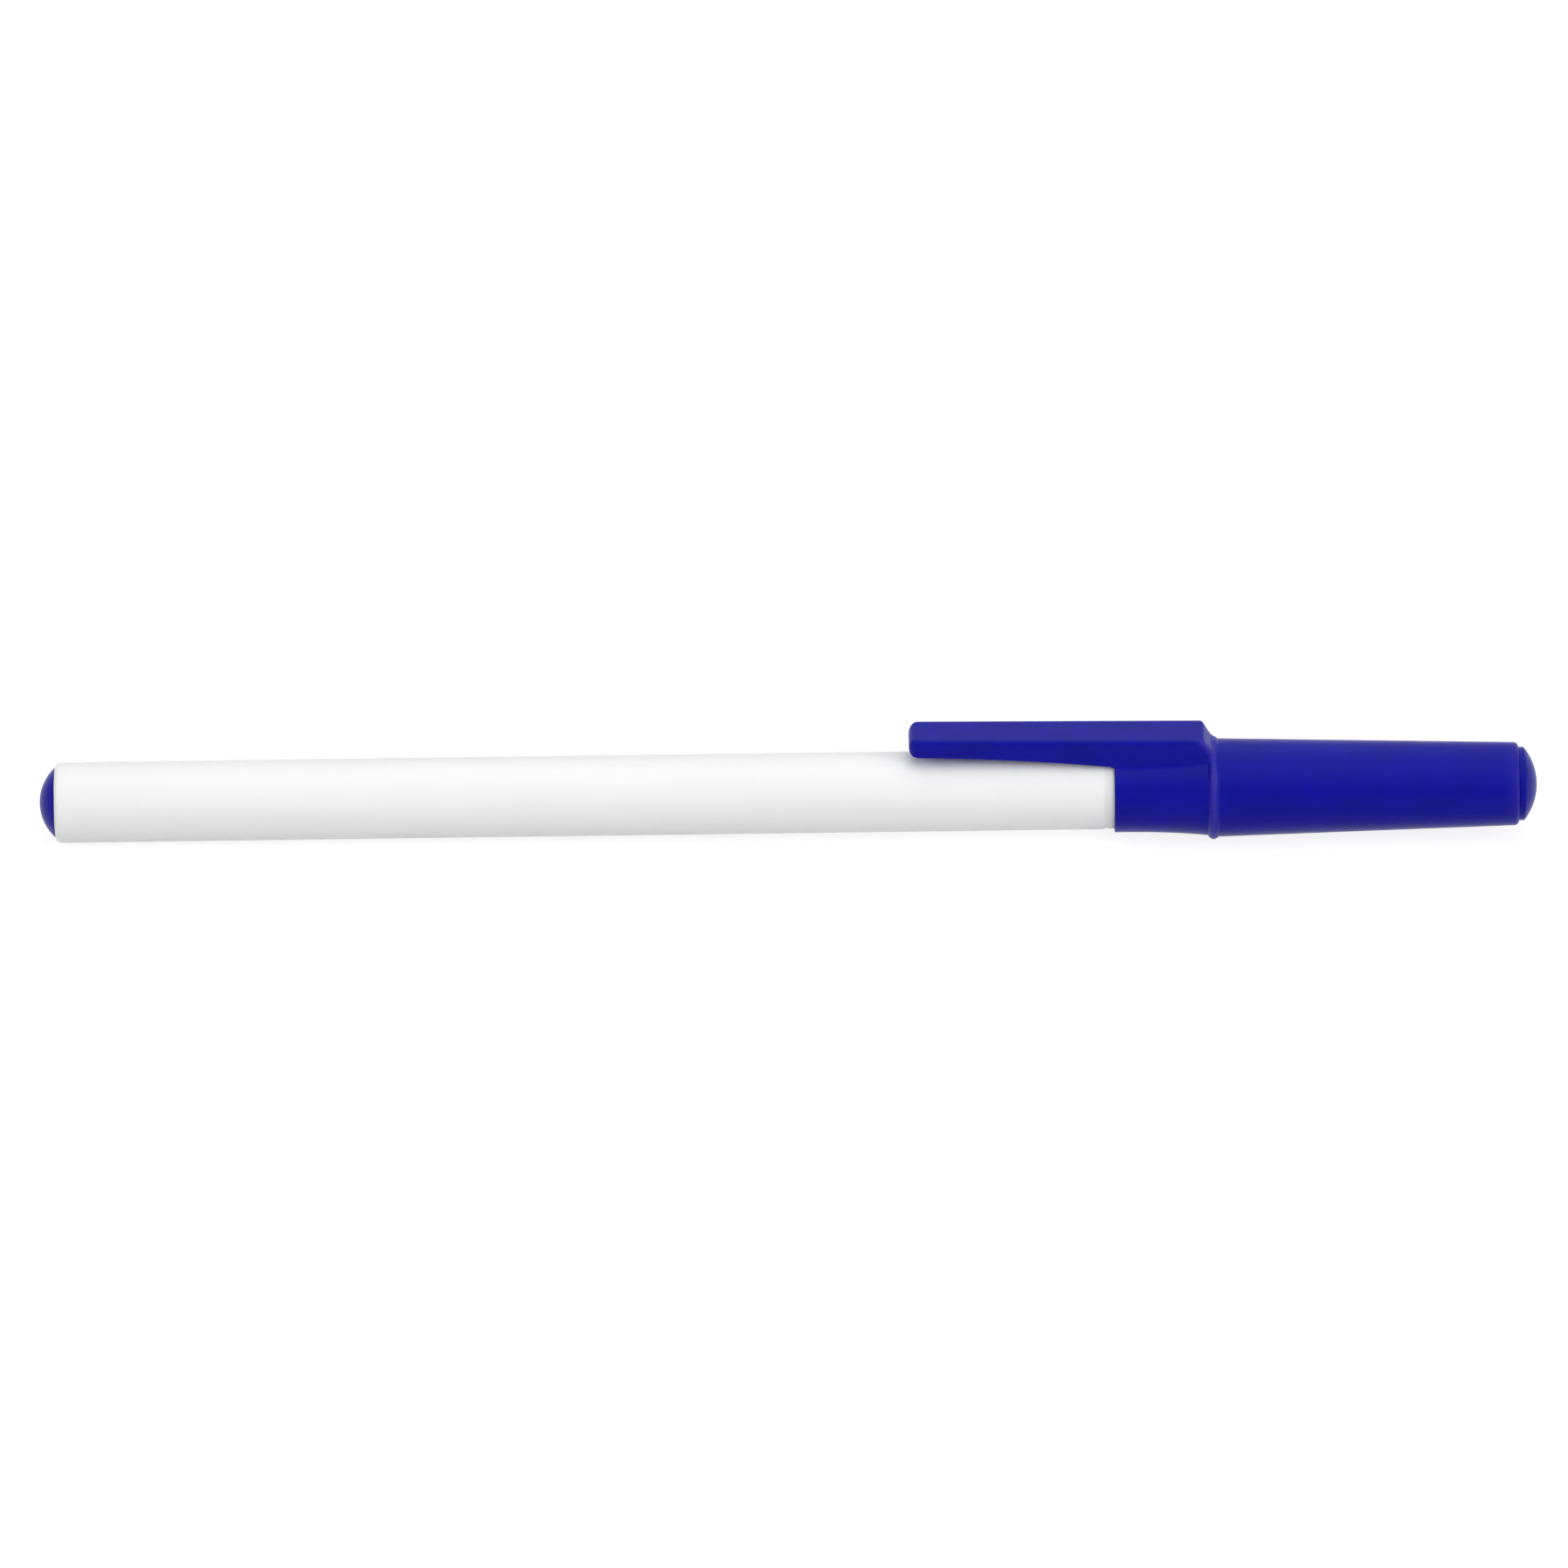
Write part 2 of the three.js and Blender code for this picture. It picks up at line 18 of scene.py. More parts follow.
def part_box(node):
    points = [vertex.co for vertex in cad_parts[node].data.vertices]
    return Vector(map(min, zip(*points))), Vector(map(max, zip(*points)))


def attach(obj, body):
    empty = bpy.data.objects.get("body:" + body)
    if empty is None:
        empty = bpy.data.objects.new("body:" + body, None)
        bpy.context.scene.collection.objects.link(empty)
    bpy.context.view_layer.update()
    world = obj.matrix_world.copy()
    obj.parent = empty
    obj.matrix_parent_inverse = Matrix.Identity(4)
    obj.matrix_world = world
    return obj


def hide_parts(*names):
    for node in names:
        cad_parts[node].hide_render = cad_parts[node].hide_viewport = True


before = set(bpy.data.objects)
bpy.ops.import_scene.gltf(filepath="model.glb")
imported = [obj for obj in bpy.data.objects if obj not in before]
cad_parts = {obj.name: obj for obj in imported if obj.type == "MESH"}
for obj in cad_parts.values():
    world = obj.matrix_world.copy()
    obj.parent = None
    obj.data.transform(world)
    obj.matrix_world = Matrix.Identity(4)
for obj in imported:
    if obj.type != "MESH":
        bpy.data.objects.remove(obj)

bl_info = {
    "name": "Stick ballpoint pen",
    "version": (1, 0, 0),
    "blender": (4, 5, 0),
    "location": "View3D > Sidebar > Pen",
    "description": "Builds the visible surfaces of a capped stick ballpoint pen",
    "category": "Object",
}

MM = 0.001
FULL_TURN = 2 * math.pi
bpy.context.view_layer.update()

BARREL_LOW, BARREL_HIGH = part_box("barrel")
BARREL_PLUG_LOW, BARREL_PLUG_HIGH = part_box("barrel_end_plug")
HOLDER_LOW, HOLDER_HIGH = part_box("tip_holder")
POINT_LOW, POINT_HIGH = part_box("writing_point")
BALL_LOW, BALL_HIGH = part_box("writing_ball")
CAP_LOW, CAP_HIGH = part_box("cap")
CAP_PLUG_LOW, CAP_PLUG_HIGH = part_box("cap_end_plug")

AXIS_HEIGHT = (BARREL_LOW.z + BARREL_HIGH.z) / 2
BARREL_RADIUS = (BARREL_HIGH.z - BARREL_LOW.z) / 2

# Vertices this close are one, and edges sharper than this stay sharp.
MERGE_DISTANCE = 0.0002 * MM
SHARP_ANGLE = math.radians(32)

# Distance between rows of points, from small roundings to the straight parts.
MOUTH_STEP = 0.02 * MM
EDGE_STEP = 0.03 * MM
SLOPE_STEP = 0.06 * MM
BEAD_STEP = 0.1 * MM
SKIRT_STEP = 0.4 * MM
CLIP_STEP = 0.5 * MM
BODY_STEP = 1.2 * MM
LEAST_STEP = 0.004 * MM

# Where that distance changes: behind and ahead of the flange, behind the mouth, and ahead of the
# clip's free end.
SLOPE_ROWS_BEHIND = 1.6 * MM
RING_ROWS_BEHIND = 0.5 * MM
RING_ROWS_AHEAD = 0.8 * MM
ROOT_ROWS_BEHIND = 0.6 * MM
BEAD_ROWS_AHEAD = 4.5 * MM

# Columns from the clip's middle: over its face, its rounded edge and its side, then along the
# skirt as far as its foot reaches, and round the rest of the cap.
CLIP_COLUMNS = (14, 10, 20)
SKIRT_COLUMNS = (12, 60)
FOOT_REACH = 0.9 * MM

RIBS = 6

# Keeps a division away from zero.
TINY = 1e-9

# Share of its radius by which the middle of a rounding stands in from the corner.
ROUNDING_INSET = 0.3

# The cap's own attribute, from 0 to 1, for how pale its ridges are painted: a painted highlight
# on the flange ring, the rim and the edges beside the slope, and partly wear. It is 0 as far as
# this from the bore.
HIGHLIGHT_AND_WEAR = "wear"
BORE_MARGIN = 0.1 * MM

# Places of the lamps, and their widths and heights, in metres.
LAMPS = {
    "overhead": ((0, -0.18, 0.93), (0.9, 0.9)),
    "back": ((0, 0.47, 0.77), (0.6, 0.6)),
    "left": ((-0.62, -0.5, 0.5), (0.8, 0.3)),
    "right": ((0.62, -0.5, 0.5), (0.8, 0.3)),
}
SENSOR_WIDTH = 36.0
CAMERA_REACH = 20.0


def length(name, value, description):
    """A length property, with its default given in millimetres."""
    return FloatProperty(
        name=name, description=description, default=value * MM, unit="LENGTH", precision=5,
    )


def degrees(name, value, description):
    """An angle property, with its default given in degrees."""
    return FloatProperty(
        name=name, description=description, default=math.radians(value), subtype="ANGLE",
    )


def colour(name, value, description):
    """A colour property, given as sRGB values from 0 to 255."""
    linear = [srgb_to_linear(channel / 255) for channel in value]
    return FloatVectorProperty(
        name=name, description=description, default=linear, size=3, subtype="COLOR", min=0, max=1,
    )


def factor(name, value, description):
    """A property that runs from 0 to 1."""
    return FloatProperty(
        name=name, description=description, default=value, subtype="FACTOR", min=0, max=1,
    )


def amount(name, value, description):
    """A property that is 0 or more."""
    return FloatProperty(name=name, description=description, default=value, min=0)


def srgb_to_linear(value):
    """The sRGB curve undone: a straight foot, then a power of 2.4."""
    return value / 12.92 if value <= 0.04045 else ((value + 0.055) / 1.055) ** 2.4


class PenSizes(bpy.types.PropertyGroup):
    """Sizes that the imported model's boxes don't give."""

    columns: IntProperty(name="Columns", description="Facets round the pen", default=192, min=24)
    point_columns: IntProperty(
        name="Point columns", description="Facets round the point and its holder",
        default=96, min=24,
    )
    ball_columns: IntProperty(
        name="Ball columns", description="Facets round the ball", default=64, min=24,
    )

    rear_edge: length("Rear edge", 0.6, "Rounding of the barrel's rear edge")
    barrel_wall: length("Barrel wall", 1.1, "Wall of the straight barrel")
    body_length: length("Body length", 105.22, "Barrel's rear face to the shoulder")
    band_length: length("Front band", 0.6, "Slimmer band behind the shoulder")
    band_step: length("Band step", 0.04, "How much slimmer the band is")
    groove_width: length("Groove width", 0.3, "Groove behind the band")
    groove_depth: length("Groove depth", 0.14, "Depth of that groove")
    groove_edge: length("Groove edge", 0.05, "Rounding of its rear edge")
    shoulder_edge: length("Shoulder edge", 0.06, "Rounding of the shoulder")
    neck_step: length("Neck step", 0.4, "How much slimmer the cap's neck is")
    neck_length: length("Neck length", 13.0, "Shoulder to the tapered nose")
    nose_edge: length("Nose edge", 0.15, "Rounding of the nose's front edge")
    nose_radius: length("Nose radius", 2.4, "Front end of the nose")
    nose_bore: length("Nose bore", 1.85, "Bore that holds the tip holder")
    nose_bore_length: length("Nose bore length", 7.6, "Length of that bore")
    bore_taper: length("Bore taper", 5.0, "Taper from that bore to the barrel's")

    plug_rib_height: length("Plug rib height", 0.12, "Ribs of the plugs' spigots")
    plug_rib_width: length("Plug rib width", 0.6, "Width of those ribs")
    plug_wall: length("Plug wall", 0.8, "Wall of the plugs")
    plug_lead_in: length("Plug lead-in", 0.25, "Chamfer at the spigot's end")
    plug_press: length("Plug fit", 0.02, "Gap from the ribs to the bore")
    barrel_plug_corner: length("Barrel plug corner", 0.1, "Rounding round the barrel plug's dome")
    barrel_plug_head: length("Barrel plug head", 1.53, "Height of the barrel plug's dome")
    cap_plug_corner: length("Cap plug corner", 0.35, "Rounding round the cap plug's dome")
    cap_plug_head: length("Cap plug head", 1.8, "Height of the cap plug's head")
    cap_plug_edge: length("Cap plug edge", 0.5, "Straight edge below that dome")

    seat_gap: length("Seat gap", 0.02, "Gap where the holder and the point sit")
    holder_seat: length("Holder seat", 1.83, "Tip holder's radius in the nose")
    holder_spigot: length("Holder spigot", 1.08, "Tip holder's radius in the ink tube")
    holder_channel: length("Holder channel", 0.5, "Ink channel of the tip holder")
    holder_seat_length: length("Holder seat length", 7.0, "Length that sits in the nose")
    holder_front: length("Holder front", 1.45, "Front radius of the tip holder")
    holder_edge: length("Holder edge", 0.1, "Rounding of the cone's edges")
    stem_bore: length("Stem bore", 0.82, "Bore for the point's stem")
    stem_length: length("Stem length", 4.0, "Length of the point's stem")
    collar_length: length("Collar length", 0.9, "Length of the point's collar")
    collar_edge: length("Collar edge", 0.05, "Rounding of that collar")
    point_channel: length("Point channel", 0.3, "Ink channel of the point")
    lip_wall: length("Lip wall", 0.06, "Metal round the ball at the lip")
    ball_gap: length("Ball gap", 0.015, "Gap from the ball to its socket")

    mouth_station: length("Mouth", 20.4, "Clip's free end to the cap's mouth")
    mouth_edge: length("Mouth edge", 0.08, "Rounding of the cap's mouth")
    mouth_radius: length("Mouth radius", 4.33, "Outer radius of the cap's mouth")
    mouth_lead_in: length("Mouth lead-in", 0.2, "Chamfer inside the mouth")
    skirt_flare: length("Skirt flare", 0.4, "How much the skirt widens")
    flange_station: length("Flange", 9.8, "Mouth to the flange ring")
    flange_width: length("Flange width", 1.1, "Foot of the flange ring")
    upper_radius: length("Upper radius", 4.89, "Upper body just ahead of the flange")
    rim_radius: length("Rim radius", 4.13, "Outer radius of the cap's rim")
    rim_edge: length("Rim edge", 0.45, "Rounding of that rim")
    cap_bore: length("Cap bore", 3.8, "Bore of the cap over the neck")
    cap_end_bore: length("Cap end bore", 3.25, "Bore that holds the cap's end plug")
    cap_plug_spigot: length("Cap plug spigot", 2.0, "Length of that bore")
    grip_rib_height: length("Grip rib height", 0.17, "Ribs that grip the neck")
    grip_rib_width: length("Grip rib width", 0.6, "Width of those ribs")
    grip_rib_start: length("Grip rib start", 1.6, "Mouth to the ribs")
    grip_rib_length: length("Grip rib length", 9.0, "Length of the ribs")

    clip_end_width: length("Clip end width", 4.4, "Width at the free end")
    clip_root_width: length("Clip root width", 4.6, "Width at the flange")
    clip_end_height: length("Clip end height", 6.9, "Axis to the outer face at the free end")
    clip_root_height: length("Clip root height", 6.55, "Axis to the outer face at the slope")
    clip_edge: length("Clip edge", 0.4, "Rounding of the outer edges")
    slope_side_edge: length("Slope side edge", 0.95, "Rounding of those edges beside the slope")
    slope_side_length: length("Slope side length", 1.0, "Stretch over which that rounding widens")
    slope_side_lead: length("Slope side lead", 0.3, "How far behind the slope it begins to widen")
    clip_corner: length("Clip corner", 1.05, "Rounding of the free end, from above")
    clip_end_outer: length("Clip end, outer edge", 0.85, "Rounding of the free end, from the side")
    clip_end_under: length("Clip end, under edge", 0.4, "Rounding of the free end's underside")
    clip_under_edge: length("Clip under edge", 0.14, "Rounding of the underside's edges")
    clip_end_gap: length("Clip end gap", 1.4, "Underside to the barrel at the free end")
    clip_root_gap: length("Clip root gap", 0.27, "Underside to the barrel at the mouth")
    clip_root_fillet: length("Clip root fillet", 0.25, "Bend from the underside to the mouth")
    clip_foot_fillet: length("Clip foot fillet", 0.5, "Blend from the clip's side to the cap")
    clip_foot_fade: length("Clip foot fade", 0.8, "Stretch over which it fades at the mouth")
    clip_under_fade: length("Clip under fade", 0.5, "Stretch over which the under edges fade")
    slope_start: length("Slope start", 1.0, "Slope's upper edge, behind the flange")
    slope_edge: length("Slope edge", 0.5, "Rounding of that edge")
    slope_angle: degrees("Slope angle", 57.7, "Steepness of the slope by the flange")
    bead_gap: length("Bead gap", 0.25, "Bead to the barrel")
    bead_station: length("Bead station", 2.4, "Free end to the bead's middle")
    bead_length: length("Bead length", 3.4, "Length of the bead")
    bead_width: length("Bead width", 2.2, "Width of the bead")

    # Where the cap's ridges are painted pale: a painted highlight, and partly wear.
    ring_highlight_and_wear: length("Ring wear", 0.36, "Reach of the highlight_and_rubbing from the ring's crest")
    rim_highlight_and_wear: length("Rim wear", 0.22, "Reach of the highlight_and_rubbing at the rim")
    rim_highlight_and_wear_station: length("Rim wear station", 0.25, "Rim to the middle of that highlight_and_rubbing")
    rim_highlight_and_wear_share: factor("Rim wear share", 0.6, "How much the rim is rubbed")
    slope_highlight_and_wear: length("Slope wear", 0.5, "Reach of the highlight_and_rubbing from the edges beside the slope")
    slope_highlight_and_wear_start: length("Slope wear start", 0.8, "Where that highlight_and_rubbing begins, behind the slope")


class PenFinish(bpy.types.PropertyGroup):
    """Colours and gloss of the pen's materials."""

    white: colour("White", (240, 240, 240), "Barrel plastic")
    blue: colour("Blue", (9, 8, 143), "Cap and plug plastic")
    # Pale blue painted on the cap's ridges: a painted highlight, and partly wear.
    highlight_and_worn_blue: colour("Worn blue", (50, 47, 158), "Cap plastic where its ridges are rubbed pale")
    nickel_silver: colour("Nickel silver", (214, 208, 190), "Metal of the writing point")
    ball: colour("Ball", (200, 201, 204), "Metal of the ball")
    tube: colour("Tube", (232, 236, 238), "Clear ink tube")
    ink: colour("Ink", (20, 16, 92), "Ink paste")
    white_roughness: factor("White roughness", 0.34, "Roughness of the barrel plastic")
    blue_roughness: factor("Blue roughness", 0.32, "Roughness of the cap plastic")


class PenStage(bpy.types.PropertyGroup):
    """Camera, floor and light."""

    frame_width: length("Frame width", 155.84, "Width that the camera sees at the pen")
    distance: length("Distance", 1500.0, "Camera to the pen")
    centre_offset: length("Centre offset", -0.42, "Frame's centre along the pen")
    centre_lift: length("Centre lift", 0.9, "Frame's centre above the pen's axis, in the frame")
    elevation: degrees("Elevation", 30.0, "Height of the camera over the pen")
    roll: degrees("Roll", 0.745, "How much the pen rises to the right in the frame")
    floor_size: length("Floor size", 6000.0, "Side of the floor")
    floor_gap: length("Floor gap", 0.01, "Floor to the pen where it rests")
    floor_tone: factor("Floor tone", 0.75, "How pale the floor is")
    floor_glow: factor("Floor glow", 0.85, "Share of the white floor that shadows leave")
    floor_seen: amount("Floor seen", 1.1, "Sum of that glow and the lit floor, where white is 1")
    sky: amount("Sky", 0.33, "Strength of the light from all round")
    overhead: amount("Overhead", 3.05, "Power of the lamp overhead, in watts")
    back: amount("Back", 1.3, "Power of the lamp behind the pen, in watts")
    left: amount("Left", 2.4, "Power of the lamp in front of the barrel, in watts")
    right: amount("Right", 3.5, "Power of the lamp in front of the cap, in watts")


# Surfaces. A grid is an array of points with one row for each step along the pen.

def arc(station, radius, size, start, end, steps=8):
    """Points of a circle's arc in a profile: 0 degrees points forward and 90 degrees outward."""
    angle = np.radians(np.linspace(start, end, steps + 1))
    return np.column_stack([station + size * np.cos(angle), radius + size * np.sin(angle)])


def points(*pairs):
    """A stretch of a profile with sharp corners."""
    return np.array(pairs, float)


def dome(base, edge_radius, height, corner, steps=24):
    """A sphere's cap of the given height, whose edge is rounded.

    The sphere's radius is (r squared + h squared) / 2h. The corner's circle touches the sphere from
    inside and the straight edge from inside, so its centre lies where both distances hold.
    """
    sphere = (edge_radius**2 + height**2) / (2 * height)
    centre = base + height - sphere
    opening = math.asin((edge_radius - corner) / (sphere - corner))
    corner_centre = centre + (sphere - corner) * math.cos(opening)
    edge = arc(corner_centre, edge_radius - corner, corner, 90, math.degrees(opening))
    edge[:, 0] = np.maximum(edge[:, 0], base)
    angle = np.linspace(opening, 0, steps + 1)[1:]
    cap = np.column_stack([centre + sphere * np.cos(angle), sphere * np.sin(angle)])
    return np.vstack([edge, cap])


def revolve(profile, columns):
    """Grid of a surface of revolution: each profile point turned evenly about the pen's axis."""
    angle = np.linspace(0, FULL_TURN, columns, endpoint=False)
    return polar(profile[:, :1], profile[:, 1:], angle[None, :])


def polar(station, radius, angle):
    """Points from stations, radii and angles, which are broadcast against each other."""
    station, radius, angle = np.broadcast_arrays(station, radius, angle)
    up = AXIS_HEIGHT + radius * np.cos(angle)
    return np.stack([station, radius * np.sin(angle), up], axis=-1)


def grid_faces(rows, columns, first=0, close_rows=False, close_columns=True):
    """Corner numbers of a grid's quads, outward where rows go forward and columns turn."""
    row = np.arange(rows if close_rows else rows - 1)[:, None]
    column = np.arange(columns if close_columns else columns - 1)[None, :]
    next_row = (row + 1) % rows
    next_column = (column + 1) % columns
    quads = np.stack(np.broadcast_arrays(
        row * columns + column, next_row * columns + column,
        next_row * columns + next_column, row * columns + next_column,
    ), axis=-1)
    return quads.reshape(-1, 4) + first


def make_piece(name, parts, material, end_faces=()):
    """A mesh object from (grid, faces) parts and the faces between them.

    Its seams and poles are merged, and it is shaded smooth except at sharp edges.
    """
    mesh = bpy.data.meshes.new(name)
    vertices = np.vstack([grid.reshape(-1, 3) for grid, _ in parts])
    groups = [quads for _, quads in parts] + list(end_faces)
    mesh.from_pydata(vertices, [], [corners for group in groups for corners in group.tolist()])
    build = bmesh.new()
    build.from_mesh(mesh)
    bmesh.ops.remove_doubles(build, verts=build.verts, dist=MERGE_DISTANCE)
    bmesh.ops.dissolve_degenerate(build, edges=build.edges, dist=MERGE_DISTANCE / 20)
    build.to_mesh(mesh)
    build.free()
    mesh.materials.append(material)
    mesh.polygons.foreach_set("use_smooth", np.ones(len(mesh.polygons), bool))
    mesh.set_sharp_from_angle(angle=SHARP_ANGLE)
    piece = bpy.data.objects.new(name, mesh)
    bpy.context.scene.collection.objects.link(piece)
    return piece


def revolved_piece(name, profile, material, columns, closed=True):
    """A body of revolution, whose profile comes back to its start or has both ends on the axis."""
    faces = grid_faces(len(profile), columns, close_rows=closed)
    return make_piece(name, [(revolve(profile, columns), faces)], material)


def dress(piece, body, slot, *nodes):
    """The piece rides on the body and stands for the nodes."""
    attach(piece, body)
    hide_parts(*nodes)


def rib_turn(width, radius, columns):
    """Angles of a full turn, and how much of a rib each angle carries.

    A rib is flat over its width and falls off over a quarter of its half width on either side.
    Even angles that come close to a rib give way to the rib's own four.
    """
    half = width / 2 / radius
    flank = 0.25 * half
    foot = half + flank
    clear = 1.4 * half
    middles = np.arange(RIBS) * FULL_TURN / RIBS

    def off_rib(turn):
        """Angle from the nearest rib's middle."""
        return np.abs((turn[:, None] - middles + math.pi) % FULL_TURN - math.pi).min(axis=1)

    even = np.linspace(0, FULL_TURN, columns, endpoint=False)
    clear_of_ribs = even[off_rib(even) > clear]
    corners = (middles[:, None] + np.array([-foot, -half, half, foot])).ravel() % FULL_TURN
    turn = np.sort(np.concatenate([clear_of_ribs, corners]))
    return turn, np.clip((foot - off_rib(turn)) / flank, 0, 1)


# Materials

def new_material(name, base, roughness, metallic=0.0):
    """A material whose own sockets hold everything that is the same all over."""
    material = bpy.data.materials.new(name)
    material.use_nodes = True
    shader = material.node_tree.nodes["Principled BSDF"]
    shader.inputs["Base Color"].default_value = (*base, 1)
    shader.inputs["Roughness"].default_value = roughness
    shader.inputs["Metallic"].default_value = metallic
    return material, shader


def noise(tree, scale, detail=3.0, stretch=(1, 1, 1)):
    """Noise on Object coordinates, with the scale in waves for each metre."""
    coordinates = tree.nodes.new("ShaderNodeTexCoord")
    mapping = tree.nodes.new("ShaderNodeMapping")
    mapping.inputs["Scale"].default_value = stretch
    texture = tree.nodes.new("ShaderNodeTexNoise")
    texture.inputs["Scale"].default_value = scale
    texture.inputs["Detail"].default_value = detail
    tree.links.new(coordinates.outputs["Object"], mapping.inputs["Vector"])
    tree.links.new(mapping.outputs["Vector"], texture.inputs["Vector"])
    return texture.outputs["Fac"]


def to_range(tree, value, low, high, start=0.3, end=0.7):
    """The value mapped from start and end to low and high."""
    node = tree.nodes.new("ShaderNodeMapRange")
    node.inputs["From Min"].default_value = start
    node.inputs["From Max"].default_value = end
    node.inputs["To Min"].default_value = low
    node.inputs["To Max"].default_value = high
    tree.links.new(value, node.inputs["Value"])
    return node.outputs["Result"]


def combine(tree, operation, first, second):
    """The result of a Math node on two outputs."""
    node = tree.nodes.new("ShaderNodeMath")
    node.operation = operation
    tree.links.new(first, node.inputs[0])
    tree.links.new(second, node.inputs[1])
    return node.outputs["Value"]


def two_tones(tree, value, first, second):
    """A colour that runs from the first to the second as the value runs from 0 to 1.

    Each is a colour or a node's output. A Mix node's colours are its inputs 6 and 7 and output 2.
    """
    node = tree.nodes.new("ShaderNodeMix")
    node.data_type = "RGBA"
    for tone, socket in ((first, node.inputs[6]), (second, node.inputs[7])):
        if isinstance(tone, bpy.types.NodeSocket):
            tree.links.new(tone, socket)
        else:
            socket.default_value = (*tone, 1)
    tree.links.new(value, node.inputs["Factor"])
    return node.outputs[2]


def bump(tree, height, shader, strength, depth=0.004 * MM):
    """Bumps of the given depth on the shader."""
    node = tree.nodes.new("ShaderNodeBump")
    node.inputs["Strength"].default_value = strength
    node.inputs["Distance"].default_value = depth
    tree.links.new(height, node.inputs["Height"])
    tree.links.new(node.outputs["Normal"], shader.inputs["Normal"])


def shade(base, times):
    """The colour multiplied, and kept at or below 1."""
    return tuple(min(1.0, channel * times) for channel in base)


def white_plastic(name, finish):
    """Extruded white plastic: faint lines along the barrel, handling marks in the gloss."""
    base = tuple(finish.white)
    material, shader = new_material(name, base, finish.white_roughness)
    tree = material.node_tree
    tone = to_range(tree, noise(tree, 140.0, 4.0, stretch=(0.35, 1, 1)), 0, 1)
    clouds = two_tones(tree, tone, shade(base, 0.975), shade(base, 1.01))
    tree.links.new(clouds, shader.inputs["Base Color"])
    marks = noise(tree, 620.0, 5.0, stretch=(0.2, 1, 1))
    gloss = to_range(tree, marks, finish.white_roughness - 0.05, finish.white_roughness + 0.08)
    tree.links.new(gloss, shader.inputs["Roughness"])
    lines = noise(tree, 2600.0, 2.0, stretch=(0.04, 1, 1))
    bump(tree, lines, shader, strength=0.12)
    shader.inputs["Specular IOR Level"].default_value = 0.3
    shader.inputs["Subsurface Weight"].default_value = 1.0
    shader.inputs["Subsurface Radius"].default_value = (1, 1, 1)
    shader.inputs["Subsurface Scale"].default_value = 1.5 * MM
    return material


def blue_plastic(name, finish):
    """Moulded blue plastic: flow clouds, a fine eroded texture, soft scuffs, and ridges painted
    pale, which is a painted highlight and partly wear.

    How pale a place is painted comes from the cap's own attribute, which is 0 on other pieces.
    """
    base = tuple(finish.blue)
    material, shader = new_material(name, base, finish.blue_roughness)
    tree = material.node_tree
    tone = to_range(tree, noise(tree, 260.0, 4.0), 0, 1)
    clouds = two_tones(tree, tone, shade(base, 0.9), shade(base, 1.1))
    highlighted_and_rubbed = tree.nodes.new("ShaderNodeAttribute")
    highlighted_and_rubbed.attribute_name = HIGHLIGHT_AND_WEAR
    patches = to_range(tree, noise(tree, 1400.0, 3.0), 0.75, 1.0)
    highlight_and_wear_share = combine(tree, "MULTIPLY", highlighted_and_rubbed.outputs["Fac"], patches)
    # Painted highlight, partly wear: the ridges turn pale blue where the attribute is high.
    highlight_and_wear_tone = two_tones(tree, highlight_and_wear_share, clouds, tuple(finish.highlight_and_worn_blue))
    tree.links.new(highlight_and_wear_tone, shader.inputs["Base Color"])
    scuffs = noise(tree, 900.0, 3.0)
    gloss = to_range(tree, scuffs, finish.blue_roughness - 0.02, finish.blue_roughness + 0.05)
    tree.links.new(gloss, shader.inputs["Roughness"])
    bump(tree, noise(tree, 3200.0, 1.0), shader, strength=0.08)
    shader.inputs["Specular IOR Level"].default_value = 0.1
    return material


def turned_metal(name, base, roughness):
    """Turned metal: fine rings round the point, duller in patches."""
    material, shader = new_material(name, base, roughness, metallic=1.0)
    tree = material.node_tree
    tone = to_range(tree, noise(tree, 1500.0, 3.0), 0, 1)
    tree.links.new(two_tones(tree, tone, shade(base, 0.9), base), shader.inputs["Base Color"])
    gloss = to_range(tree, noise(tree, 2400.0, 4.0), roughness, roughness + 0.12)
    tree.links.new(gloss, shader.inputs["Roughness"])
    rings = noise(tree, 9000.0, 1.0, stretch=(1, 0.05, 0.05))
    bump(tree, rings, shader, strength=0.2)
    return material


def nickel_silver(name, finish):
    """The writing point's metal."""
    return turned_metal(name, tuple(finish.nickel_silver), roughness=0.22)


def ball_metal(name, finish):
    """The ball's polished metal."""
    return turned_metal(name, tuple(finish.ball), roughness=0.1)


def clear_tube(name, finish):
    """Clear tube with a faint haze."""
    base = tuple(finish.tube)
    material, shader = new_material(name, base, 0.25)
    tree = material.node_tree
    shader.inputs["Transmission Weight"].default_value = 0.8
    shader.inputs["IOR"].default_value = 1.49
    haze = to_range(tree, noise(tree, 700.0, 3.0), 0.18, 0.34)
    tree.links.new(haze, shader.inputs["Roughness"])
    lines = noise(tree, 1800.0, 2.0, stretch=(0.05, 1, 1))
    bump(tree, lines, shader, strength=0.1)
    return material


def ink_paste(name, finish):
    """Glossy ink paste with slow streaks along the tube."""
    base = tuple(finish.ink)
    material, shader = new_material(name, base, 0.2)
    tree = material.node_tree
    tone = to_range(tree, noise(tree, 500.0, 4.0, stretch=(0.1, 1, 1)), 0, 1)
    streaks = two_tones(tree, tone, shade(base, 0.7), shade(base, 1.3))
    tree.links.new(streaks, shader.inputs["Base Color"])
    gloss = to_range(tree, noise(tree, 900.0, 2.0), 0.14, 0.3)
    tree.links.new(gloss, shader.inputs["Roughness"])
    waves = noise(tree, 1500.0, 2.0, stretch=(0.2, 1, 1))
    bump(tree, waves, shader, strength=0.1, depth=0.005 * MM)
    return material


